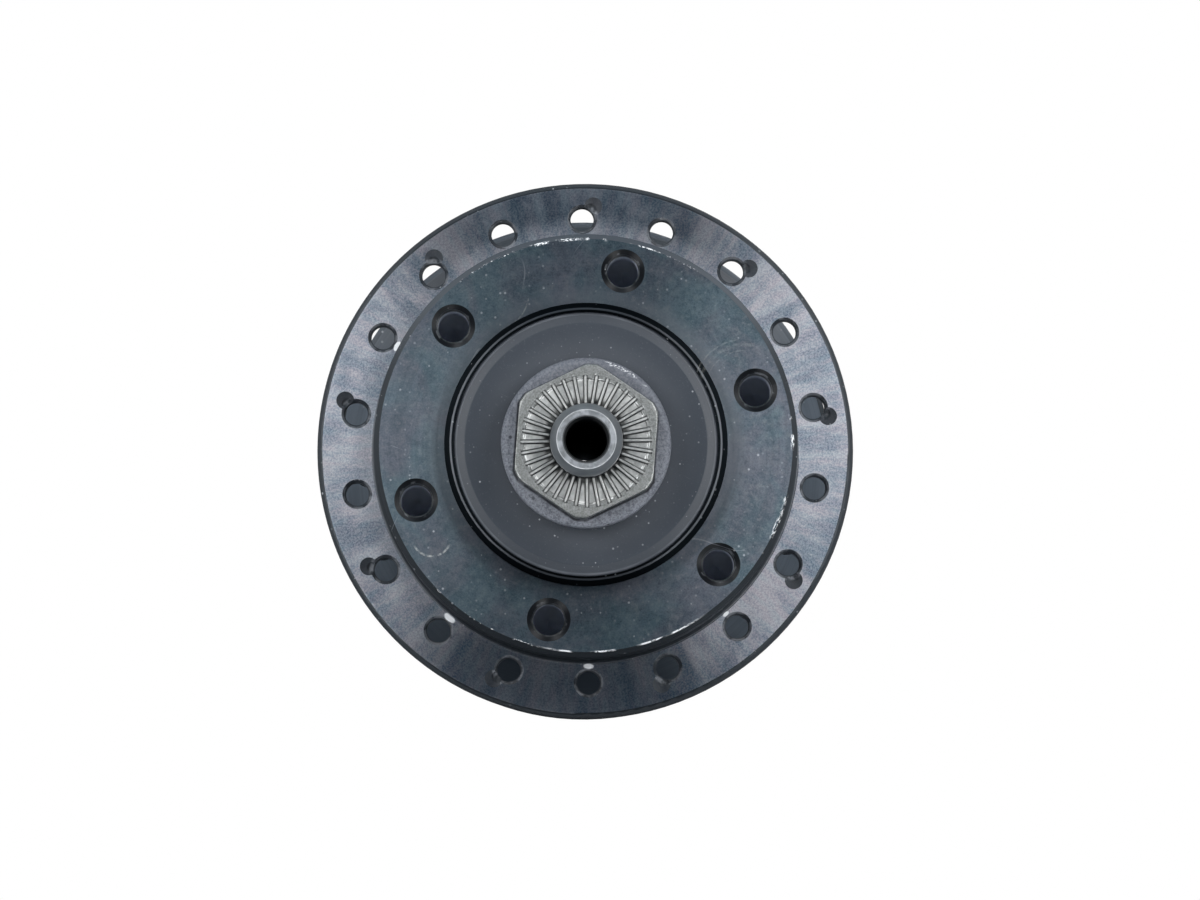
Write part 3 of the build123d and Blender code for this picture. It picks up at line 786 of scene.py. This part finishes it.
def make_axle_steel(colours):
    """Dark oiled steel with the marks of its turning and grime in the thread, and the bore painted black as
    shade.
    """
    material, w, shader = new_material("axle steel", colours.axle_steel)
    vector, _, y, _ = w.here()
    radius = w.round_axle()[0]
    rings, bands = w.turning(0.00016, 2.0)
    on_end = w.rise(w.size(y), AXLE_END - 0.00006, AXLE_END - 0.00002)
    mottle = w.noise(vector, 900.0, 3.0, 0.6)
    end_face = w.blend(w.rise(mottle, 0.40, 0.60), (0.40, 0.415, 0.43), (0.60, 0.615, 0.64))
    glint = w.times(on_end, w.rise(radius, AXLE_R - 0.00092, AXLE_R - 0.00086),
                    w.rise(mottle, 0.3, 0.5, 0.55, 1.0))
    mouth = w.times(on_end, w.fall(radius, BORE_R + 0.00016, BORE_R + 0.0003))
    root = w.times(w.fall(radius, AXLE_R - 0.00045, AXLE_R - 0.0001),
                   w.rise(radius, BORE_R + 0.0001, BORE_R + 0.0003))
    in_root = w.times(root, w.fall(w.size(y), AXLE_END - 0.0009, AXLE_END - 0.0008))
    # The bore is painted black as shade
    bore_shade = w.fall(radius, BORE_R + 0.00005, BORE_R + 0.00015)
    tone = w.layers(
        colours.axle_steel,
        (on_end, end_face),
        (w.rise(bands, 0.4, 0.7, 0.0, 0.4), (0.18, 0.185, 0.19)),
        (glint, (0.95, 0.95, 0.95)),
        (w.times(mouth, 0.8), colours.grime_and_shade),
        (w.times(in_root, w.rise(mottle, 0.3, 0.6, 0.35, 0.9)), colours.grime_and_shade),
        (bore_shade, (0.004, 0.006, 0.008)))
    w.fill(shader, Base_Color=tone, Metallic=w.less(0.9, w.times(bore_shade, 0.9)),
           Roughness=w.most(w.rise(rings, 0.3, 0.7, 0.28, 0.44), bore_shade),
           Normal=w.bump(w.plus(rings, w.times(mottle, 0.7)), 0.000012, 0.6))
    return material


def make_boot_rubber(colours):
    """Old rubber with a grey bloom, a painted shadow beside the locknut, painted shade to the upper right, pits
    and nicks.
    """
    material, w, shader = new_material("boot rubber", colours.rubber)
    vector = w.here()[0]
    bloom = w.noise(vector, 420.0, 4.0, 0.65)
    grain = w.noise(vector, 3600.0, 2.0, 0.7)
    pits = w.specks(1500.0, 0.34, 0.30)
    radius, _, angle = w.round_axle()
    sixth = TURN / 6
    from_flat = w.less(w.modulo(w.less(angle, CORNER_TURN), sixth), sixth / 2)
    past_flat = w.less(w.times(radius, w.cos(from_flat)), NUT_FLATS / 2)
    past_nut = w.most(past_flat, w.less(radius, NUT_CORNERS / 2))
    # Painted shadow of the locknut on the boot: a thin dark line along its outline, weaker towards 60 degrees
    shaded = w.rise(w.facing(angle, 60), -0.2, 0.9, 1.0, 0.60)
    line = w.times(w.fall(past_nut, 0.00016, 0.00036), shaded, w.rise(bloom, 0.32, 0.55, 0.6, 1.0))
    down_left = w.rise(w.facing(angle, 235), 0.3, 0.9)
    flakes = w.times(w.specks(900.0, 0.34, 0.16), down_left, 0.8)
    # Painted shade over the boot, darkest towards the upper right
    upper_right_shade = w.plus(0.26, w.times(w.facing(angle, 75), 0.25))
    chips = w.group("Edge chips", Radius=BOOT_R - 0.0003, Along=-NUT_BACK, Reach=0.00045, Middle=1.15,
                    Half_arc=0.36, Amount=0.49, Grain=1500.0)
    tone = w.layers(
        colours.rubber,
        (w.rise(bloom, 0.35, 0.7, 0.0, 0.6), (0.120, 0.128, 0.153)),
        (w.rise(grain, 0.45, 0.62, 0.0, 0.6), (0.28, 0.29, 0.32)),
        (w.rise(grain, 0.36, 0.47, 0.55, 0.0), (0.066, 0.070, 0.083)),
        (w.times(pits, 0.9), colours.rubber_pits_and_shadow),
        (upper_right_shade, (0.07, 0.075, 0.09)),
        (flakes, colours.rubber_pits_and_shadow),
        (line, colours.rubber_pits_and_shadow),
        (chips, (0.85, 0.85, 0.86)))
    height = w.less(w.plus(w.times(grain, 0.5), bloom), w.times(pits, 1.2))
    w.fill(shader, Base_Color=tone, Roughness=w.rise(bloom, 0.3, 0.7, 0.62, 0.78), Specular_IOR_Level=0.35,
           Normal=w.bump(height, 0.00003, 0.7))
    return material


def make_cap_plastic(colours):
    """Matt moulded plastic, painted darker outwards as shade, with faint rings, a rim rubbed smooth, a painted
    highlight inside its edge, hairlines and dust.
    """
    material, w, shader = new_material("cap plastic", colours.cap)
    vector = w.here()[0]
    radius = w.round_axle()[0]
    rings = w.turning(0.00035, 0.8)[0]
    cloud = w.noise(vector, 160.0, 3.0, 0.55)
    grain = w.noise(vector, 4200.0, 2.0, 0.7)
    rim = w.rise(radius, CAP_R - 0.00145, CAP_R - 0.00125)
    # A thin painted highlight line just inside the cap's edge
    edge_highlight = w.times(w.band(radius, CAP_R - 0.00046, CAP_R - 0.00036, CAP_R - 0.00022, CAP_R - 0.00012),
                   w.rise(cloud, 0.35, 0.6, 0.3, 1.0))
    specks = w.specks(900.0, 0.12, 0.035)
    fine = w.times(w.specks(2600.0, 0.28, 0.16), w.rise(cloud, 0.35, 0.65, 0.3, 1.0))
    hairs = w.group("Hairlines", Scale=90.0, Width=0.0022, Amount=0.33)
    tone = w.layers(
        colours.cap,
        (w.rise(cloud, 0.35, 0.7, 0.0, 0.35), (0.030, 0.035, 0.044)),
        # Towards the rim the cap is painted darker, as shade
        (w.rise(radius, 0.0108, 0.0145, 0.0, 0.85), (0.018, 0.025, 0.036)),
        (rim, colours.cap_rim),
        (w.rise(grain, 0.6, 0.85, 0.0, 0.45), (0.12, 0.13, 0.15)),
        (w.times(edge_highlight, 0.7), (0.12, 0.13, 0.15)),
        (w.times(w.most(specks, fine), 0.8), colours.dust),
        (w.times(hairs, 0.35), colours.dust))
    w.fill(shader, Base_Color=tone, Specular_IOR_Level=0.45,
           Roughness=w.less(w.rise(cloud, 0.3, 0.7, 0.52, 0.62), w.times(rim, 0.16)),
           Normal=w.bump(w.plus(w.times(rings, 0.6), w.times(grain, 0.5)), 0.00002, 0.6))
    return material


def make_seal_rubber():
    """Clean black rubber of the seals."""
    material, w, shader = new_material("seal rubber", (0.02, 0.02, 0.022))
    bloom = w.noise(w.here()[0], 500.0, 3.0, 0.6)
    w.fill(shader, Base_Color=w.blend(bloom, (0.018, 0.018, 0.020), (0.045, 0.045, 0.050)),
           Roughness=w.rise(bloom, 0.3, 0.7, 0.5, 0.7), Normal=w.bump(bloom, 0.00002, 0.5))
    return material


def make_ground_steel(name, tone, worn, low, high):
    """Ground bearing steel with fine rings and a film of grease."""
    material, w, shader = new_material(name, tone)
    rings = w.turning(0.00012, 3.0)[0]
    film = w.noise(w.here()[0], 520.0, 3.0, 0.6)
    w.fill(shader, Base_Color=w.blend(w.rise(film, 0.45, 0.7), tone, worn), Metallic=1.0,
           Roughness=w.rise(rings, 0.3, 0.7, low, high), Normal=w.bump(rings, 0.000008, 0.5))
    return material


def paint(material, *nodes):
    """Gives CAD nodes a new finish; their meshes stay as they are."""
    for name in nodes:
        slots = frame["nodes"][name].data.materials
        slots.clear()
        slots.append(material)


class HUB_OT_shell(bpy.types.Operator):
    """Gives the hub shell its anodised finish and cuts the threads of its rotor holes"""

    bl_idname = "hub.shell"
    bl_label = "Hub shell"

    def execute(self, context):
        sizes, colours = context.scene.hub_sizes, context.scene.hub_colours
        anodised = make_anodised(colours)
        paint(anodised, "hub_shell")

        # Each rotor hole gets a thin threaded sleeve. Its inner wall is the hole's radius less the thread's
        # height times the thread wave of depth over pitch plus angle; its outer wall lies just inside the
        # metal.
        reach, pitch = sizes.rotor_thread_length, sizes.rotor_pitch
        free, sunk = 0.01 * MM, 0.05 * MM
        depth = np.linspace(0, reach, int(reach / pitch * ROTOR_ROWS))[:, None]
        angle = np.linspace(0, TURN, ROTOR_POINTS, endpoint=False)[None]
        fade = smooth_step(depth, 0, pitch) * smooth_step(reach - depth, 0, pitch)
        wave = thread_wave(depth / pitch + angle / TURN) * fade
        inner = ROTOR_HOLE_R - free - sizes.rotor_thread * wave
        outer = np.full((2, angle.size), ROTOR_HOLE_R + sunk)
        radius = np.concatenate([inner, outer])
        along = -THREAD_START + np.concatenate([depth, [[reach], [0]]])
        sleeves = []
        for turn in ROTOR_TURN + np.arange(6) * TURN / 6:
            x = ROTOR_R * math.cos(turn) + radius * np.cos(angle)
            z = ROTOR_R * math.sin(turn) + radius * np.sin(angle)
            sleeves.append(np.stack([x, np.broadcast_to(along, x.shape), z], -1))
        finish_piece(closed_skin("rotor_hole_threads", sleeves), "hub", "black_anodised", anodised)
        return {"FINISHED"}


class HUB_OT_axle(bpy.types.Operator):
    """Makes the hollow axle with its thread"""

    bl_idname = "hub.axle"
    bl_label = "Threaded axle"

    def execute(self, context):
        sizes, colours = context.scene.hub_sizes, context.scene.hub_colours
        # Outside: radius less depth times one minus the thread wave of distance over pitch plus angle, no
        # thread in the middle, and no more than the cone of the chamfer at each end. Then the end faces and
        # the bore.
        pitch, chamfer, plain = sizes.thread_pitch, sizes.axle_chamfer, AXLE_END - sizes.thread_length
        threaded = np.arange(plain, AXLE_END - 1e-6, pitch / AXLE_ROWS)
        half = np.concatenate([np.linspace(0, plain, 12, endpoint=False), threaded, [AXLE_END]])
        along = np.concatenate([-half[:0:-1], half])[:, None]
        to_end = AXLE_END - np.abs(along)
        angle = np.linspace(0, TURN, AXLE_POINTS, endpoint=False)[None]
        wave = thread_wave(along / pitch + angle / TURN)
        cut = smooth_step(np.abs(along), plain, plain + 2 * pitch)
        cut = cut * smooth_step(to_end, chamfer, chamfer + 0.7 * pitch)
        radius = np.minimum(AXLE_R - sizes.thread_depth * (1 - wave) * cut, AXLE_R - chamfer + to_end)

        # Bore: wider at the mouth, and a little narrower behind it
        mouth = np.array([(0, 0.12), (0.5, 0), (1.5, -0.13)]) * MM
        mouth = np.array([AXLE_END, BORE_R]) + mouth * (-1, 1)
        ends = np.concatenate([mouth, mouth[::-1] * (-1, 1)])
        path = np.concatenate([np.broadcast_to(along, radius.shape), np.repeat(ends[:, :1], angle.size, 1)])
        radius = np.concatenate([radius, np.repeat(ends[:, 1:], angle.size, 1)])
        piece = closed_skin("threaded_axle", [round_axle(path, radius, angle)])
        finish_piece(piece, "axle_set", "axle_steel", make_axle_steel(colours), "axle")
        return {"FINISHED"}


class HUB_OT_locknuts(bpy.types.Operator):
    """Makes the two serrated hexagon locknuts"""

    bl_idname = "hub.locknuts"
    bl_label = "Locknuts"

    def execute(self, context):
        sizes, colours = context.scene.hub_sizes, context.scene.hub_colours
        plating = make_plating(colours)
        for side, word in SIDES:
            grid, grime_and_shade = self.surface(sizes, side, 11 + side)
            piece = closed_skin(f"serrated_locknut_{word}", [grid], 50.0, grime_and_shade)
            finish_piece(piece, "axle_set", "plated_steel", plating, f"locknut_{word}")
        return {"FINISHED"}

    @staticmethod
    def surface(sizes, side, seed):
        """One closed grid round the nut, and how much grime and painted shade each point has.

        Columns follow the ridges: across a ridge they lie at fixed distances from its middle line, and the
        rest of the valley is shared out evenly, so an angle is the arc sine of distance over radius. Rows run
        from the bore over the outer face, down the hexagon and back. A ridge's crest is the highest part. Off
        it, the depth is the valley's near the axle and the outer face's farther out, each reached by a smooth
        step across the ridge's side and its tip. The outline is the hexagon's radius, flats over the cosine
        of the angle from the nearest flat, held in by the turned corners.
        """
        rng = np.random.default_rng(seed)
        crest, wall, pitch = sizes.ridge_crest / 2, sizes.ridge_wall, TURN / RIDGES
        near = crest + wall * np.array([-crest / wall, -0.3, 0, 0.2, 0.8, 1, 1.25])
        shares = np.array([0.35, 0.7, 1.0])
        flats, corners, thickness = sizes.nut_flats / 2, sizes.nut_corners / 2, NUT_FACE - NUT_BACK

        def columns(radius):
            """Angles of the columns at a radius."""
            limit = pitch / 2
            inside = np.minimum(np.arcsin(np.minimum(near / radius, 0.99)),
                                limit * np.linspace(0, 0.985, len(near)))
            half = np.concatenate([inside, inside[-1] + (limit - inside[-1]) * shares])
            one = np.concatenate([-half[-2:0:-1], half])
            return RIDGE_TURN + (np.arange(RIDGES)[:, None] * pitch + one[None]).ravel()

        bore, lip, fine = AXLE_R - 0.1 * MM, 0.22 * MM, 0.03 * MM
        inner = np.concatenate([[bore, bore + 0.1 * MM, bore + lip],
                                np.linspace(bore + 0.4 * MM, DENSE_FROM, 14),
                                np.linspace(DENSE_FROM + 0.07 * MM, FACE_TO, 22)])
        angle = np.array([columns(r) for r in inner])
        r = inner[:, None]
        from_ridge = np.abs((angle - RIDGE_TURN + pitch / 2) % pitch - pitch / 2)
        plan = r * np.sin(from_ridge)
        number = np.repeat(np.arange(RIDGES), angle.shape[1] // RIDGES)
        tip = (sizes.ridge_tip + 0.07 * MM * rng.normal(size=RIDGES))[number]
        reach = (sizes.ridge_reach + 0.05 * MM * rng.normal(size=RIDGES))[number]
        narrow = 1 - 0.55 * smooth_step(r, tip - 0.4 * MM, tip)
        off_crest = smooth_step(plan, crest * narrow, crest * narrow + wall)
        past_tip = smooth_step(r, tip - 0.1 * MM, tip)
        off = np.maximum(off_crest, past_tip)
        ramp = smooth_step(r, reach - 0.16 * MM, reach)
        floor = sizes.face_drop + (sizes.ridge_height - sizes.face_drop) * (1 - ramp)
        worn = (fine * np.abs(rng.normal(size=RIDGES)))[number] * (1 - off)
        dome = fine * (plan / crest) ** 2 * (plan < crest)
        mouth = lip * smooth_step(bore + lip - r, 0, lip)
        depth = floor * off + worn + dome + mouth
        # Painted shade on the ridges' sides, and grime with painted shade on the floors near the axle and at
        # the bore
        on_side = smooth_step(plan, crest * narrow - 0.3 * wall, crest * narrow + 0.1 * wall) * (1 - past_tip)
        on_side = on_side * (1 - smooth_step(plan, crest + 0.85 * wall, crest + 1.3 * wall))
        on_side = on_side + 2 * past_tip * (1 - past_tip)
        at_axle = off * (1 - smooth_step(r, GRIME_SHADE_FROM, GRIME_SHADE_TO))
        grime_and_shade = np.maximum(0.86 * np.minimum(on_side, 1), at_axle)
        grime_and_shade = np.maximum(grime_and_shade, 0.8 * (1 - smooth_step(r, bore + 0.1 * MM, bore + 0.35 * MM)))

        last = columns(OUTLINE_R)
        sixth = np.pi / 3
        from_flat = (last - CORNER_TURN) % sixth - sixth / 2
        outline = flats / np.cos(from_flat)
        soft = 0.012 * MM
        outline = -soft * np.logaddexp(-outline / soft, -corners / soft)
        bend = (0.1 + 0.22 * smooth_step(outline, BEND_FROM, corners)) * MM
        face = sizes.face_drop
        start = inner[-1]
        rows = [(start + (outline - bend - start) * t, np.full_like(last, face)) for t in (0.3, 0.7, 1)]
        for t in np.linspace(0, np.pi / 2, 5)[1:]:
            rows.append((outline - bend * (1 - np.sin(t)), face + 0.7 * bend * (1 - np.cos(t))))
        rows += [(outline, np.full_like(last, thickness * part)) for part in (0.35, 0.7)]
        for t in np.linspace(0, np.pi / 2, 4):
            rows.append((outline - bend * (1 - np.cos(t)), thickness - bend * (1 - np.sin(t))))
        rows += [(np.full_like(last, r_back), np.full_like(last, thickness)) for r_back in (SPACER_R, bore)]
        radius = np.concatenate([np.broadcast_to(r, angle.shape), [row[0] for row in rows]])
        depth = np.concatenate([depth, [row[1] for row in rows]])
        angle = np.concatenate([angle, np.broadcast_to(last, (len(rows), last.size))])
        grime_and_shade = np.concatenate([grime_and_shade, np.zeros((len(rows), last.size))])
        radius = radius + soft * waviness(angle, seed, 9, 3) * (radius > FACE_TO + 0.04 * MM)
        return round_axle(side * (NUT_FACE - depth), radius, angle), grime_and_shade


class HUB_OT_rubber(bpy.types.Operator):
    """Makes the rubber boots behind the locknuts and the lip seals inside the dust caps"""

    bl_idname = "hub.rubber"
    bl_label = "Boots and seals"

    def execute(self, context):
        sizes, colours = context.scene.hub_sizes, context.scene.hub_colours
        boot_rubber, seal_rubber = make_boot_rubber(colours), make_seal_rubber()
        angle = np.linspace(0, TURN, RUBBER_POINTS, endpoint=False)[None]
        for side, word in SIDES:
            # A ring with a rounded profile, whose outside swells and shrinks by a few hundredths round the
            # circle
            bevel = sizes.boot_bevel
            profile = rounded_profile([
                (BOOT_BACK, SPACER_R), (BOOT_BACK, BOOT_R, 0.2 * MM), (NUT_BACK - bevel, BOOT_R, 0.3 * MM),
                (NUT_BACK, BOOT_R - bevel, 0.3 * MM), (NUT_BACK, SPACER_R + 0.4 * MM),
                (NUT_BACK - 0.1 * MM, SPACER_R)])
            along, radius = profile[:, :1], profile[:, 1:]
            outside = smooth_step(radius, SPACER_R + MM, BOOT_R)
            radius = radius - outside * 0.05 * MM * (1 + 0.5 * waviness(angle, 5 + side))
            grid = round_axle(side * (along + 0 * radius), radius, angle)
            piece = closed_skin(f"rubber_boot_{word}", [grid])
            finish_piece(piece, "axle_set", "boot_rubber", boot_rubber, f"boot_{word}")

            # The seal is an outer ring with a thin sprung lip that leans back towards the balls
            lip = low_high(f"cone_{word}", 0)[1] + 0.06 * MM
            profile = rounded_profile([
                (SEAL_BACK, SEAL_R - 1.6 * MM), (SEAL_BACK, SEAL_R, 0.2 * MM), (SEAL_FRONT, SEAL_R),
                (SEAL_FRONT, lip + 0.3 * MM, 0.2 * MM), (SEAL_FRONT - 0.4 * MM, lip, 0.1 * MM),
                (SEAL_FRONT - MM, lip + 0.9 * MM, 0.2 * MM),
                (SEAL_FRONT - 1.2 * MM, SEAL_R - 2.2 * MM, 0.3 * MM)])
            grid = round_axle(side * profile[:, :1], profile[:, 1:], angle[:, ::2])
            piece = closed_skin(f"lip_seal_{word}", [grid])
            finish_piece(piece, "hub", "seal_rubber", seal_rubber, f"seal_{word}")
        return {"FINISHED"}


class HUB_OT_caps(bpy.types.Operator):
    """Gives the dust caps their moulded plastic"""

    bl_idname = "hub.caps"
    bl_label = "Dust caps"

    def execute(self, context):
        paint(make_cap_plastic(context.scene.hub_colours), "dust_cap_left", "dust_cap_right")
        return {"FINISHED"}


class HUB_OT_bearings(bpy.types.Operator):
    """Gives the cones, cups, balls, spacers and washers their steels"""

    bl_idname = "hub.bearings"
    bl_label = "Bearings"

    def execute(self, context):
        ground = make_ground_steel("bearing steel", (0.50, 0.50, 0.51), (0.30, 0.27, 0.20), 0.18, 0.32)
        polished = make_ground_steel("ball steel", (0.66, 0.66, 0.67), (0.50, 0.46, 0.36), 0.05, 0.10)
        plated = make_ground_steel("plated rings", (0.52, 0.53, 0.54), (0.40, 0.41, 0.42), 0.25, 0.40)
        for _, word in SIDES:
            paint(ground, f"cone_{word}", f"cup_{word}")
            paint(polished, f"balls_{word}")
            paint(plated, f"spacer_{word}", f"lock_washer_{word}")
        return {"FINISHED"}


class HUB_OT_stage(bpy.types.Operator):
    """Sets up the floor, the soft lights and the camera"""

    bl_idname = "hub.stage"
    bl_label = "Stage"

    def execute(self, context):
        scene, settings = context.scene, context.scene.hub_stage
        self.floor(settings)
        self.lights()
        self.surroundings(scene, settings)
        camera = bpy.data.objects.new("camera", bpy.data.cameras.new("camera"))
        camera.data.sensor_width = 36.0
        camera.data.lens = settings.lens
        camera.data.clip_start, camera.data.clip_end = 0.05, 20.0
        camera.location = settings.camera_place
        camera.rotation_euler = settings.camera_turn
        scene.collection.objects.link(camera)
        scene.camera = camera
        scene.view_settings.view_transform = "Standard"
        return {"FINISHED"}

    @staticmethod
    def floor(settings):
        """A sheet of paper under the flanges. Seen from below, where the camera stands, it is clear."""
        reach, level = settings.floor_reach, -FLANGE_R
        side = np.linspace(-reach, reach, 3)
        x, y = np.meshgrid(side, side, indexing="ij")
        vertices = np.stack([x, y, np.full_like(x, level)], -1).reshape(-1, 3)
        index = np.arange(9).reshape(3, 3)
        faces = np.stack([index[:-1, :-1], index[1:, :-1], index[1:, 1:], index[:-1, 1:]], -1).reshape(-1, 4)
        floor = put_mesh("floor", vertices, faces, 30.0)
        material, w, shader = new_material("paper", settings.floor_colour)
        tone = w.noise(w.here()[0], 3.0, 2.0)
        w.join(shader["Base Color"], w.blend(w.rise(tone, 0.3, 0.7), settings.floor_colour,
                                             (0.84, 0.84, 0.84)))
        w.join(shader["Roughness"], 0.9)
        w.join(shader["Specular IOR Level"], 0.1)
        clear = w.put("ShaderNodeBsdfTransparent")
        backface = w.put("ShaderNodeNewGeometry", out="Backfacing")
        surface = w.put("ShaderNodeMixShader", backface, shader["Base Color"].node.outputs[0], clear)
        output = next(n for n in w.tree.nodes if n.type == "OUTPUT_MATERIAL")
        w.join(output.inputs[0], surface)
        floor.data.materials.append(material)
        floor.visible_glossy = False

    @staticmethod
    def lights():
        """Square lamps that look at the middle of the disc face."""
        aim = Vector((0, -DISC_FACE, 0))
        for name, turn, off, distance, width, height, watts, warmth in LIGHTS:
            lamp = bpy.data.lights.new(name, "AREA")
            lamp.shape, lamp.size, lamp.size_y, lamp.energy = "RECTANGLE", width, height, watts
            lamp.color = (1.0 + warmth, 1.0 + warmth / 4, 1.0 - warmth / 4)
            turn, off = math.radians(turn), math.radians(off)
            away = Vector((math.cos(turn) * math.sin(off), -math.cos(off), math.sin(turn) * math.sin(off)))
            lamp_object = bpy.data.objects.new(name, lamp)
            lamp_object.location = aim + away * distance
            lamp_object.rotation_euler = away.to_track_quat("Z", "Y").to_euler()
            lamp_object.visible_camera = False
            bpy.context.scene.collection.objects.link(lamp_object)

    @staticmethod
    def surroundings(scene, settings):
        """White for the camera, and dimmer light from all round for the hub."""
        world = bpy.data.worlds.new("studio")
        world.use_nodes = True
        world.node_tree.nodes.clear()
        w = Wires(world.node_tree)
        seen = w.put("ShaderNodeLightPath", out="Is Camera Ray")
        light = w.put("ShaderNodeBackground", (0.78, 0.95, 1.12, 1.0), settings.ambient)
        white = w.put("ShaderNodeBackground", (1.0, 1.0, 1.0, 1.0), 1.0)
        w.put("ShaderNodeOutputWorld", w.put("ShaderNodeMixShader", seen, light, white), out=None)
        scene.world = world


class HUB_PT_panel(bpy.types.Panel):
    """Steps and settings of the hub's looks"""

    bl_idname = "HUB_PT_panel"
    bl_label = "Front hub"
    bl_space_type = "VIEW_3D"
    bl_region_type = "UI"
    bl_category = "Hub"

    def draw(self, context):
        for step in STEPS:
            self.layout.operator(step.bl_idname, text=step.bl_label)
        for settings in (context.scene.hub_sizes, context.scene.hub_colours, context.scene.hub_stage):
            box = self.layout.box()
            for key in settings.bl_rna.properties.keys():
                if key not in ("rna_type", "name"):
                    box.prop(settings, key)


STEPS = (HUB_OT_stage, HUB_OT_shell, HUB_OT_axle, HUB_OT_locknuts, HUB_OT_rubber, HUB_OT_caps,
         HUB_OT_bearings)
CLASSES = (HubSizes, HubColours, StageSettings, *STEPS, HUB_PT_panel)


def register():
    for kind in CLASSES:
        bpy.utils.register_class(kind)
    bpy.types.Scene.hub_sizes = bpy.props.PointerProperty(type=HubSizes)
    bpy.types.Scene.hub_colours = bpy.props.PointerProperty(type=HubColours)
    bpy.types.Scene.hub_stage = bpy.props.PointerProperty(type=StageSettings)


def unregister():
    del bpy.types.Scene.hub_sizes, bpy.types.Scene.hub_colours, bpy.types.Scene.hub_stage
    for kind in reversed(CLASSES):
        bpy.utils.unregister_class(kind)


def main():
    register()
    bpy.ops.hub.stage()
    bpy.ops.hub.shell()
    bpy.ops.hub.axle()
    bpy.ops.hub.locknuts()
    bpy.ops.hub.rubber()
    bpy.ops.hub.caps()
    bpy.ops.hub.bearings()


if __name__ == "__main__":
    main()
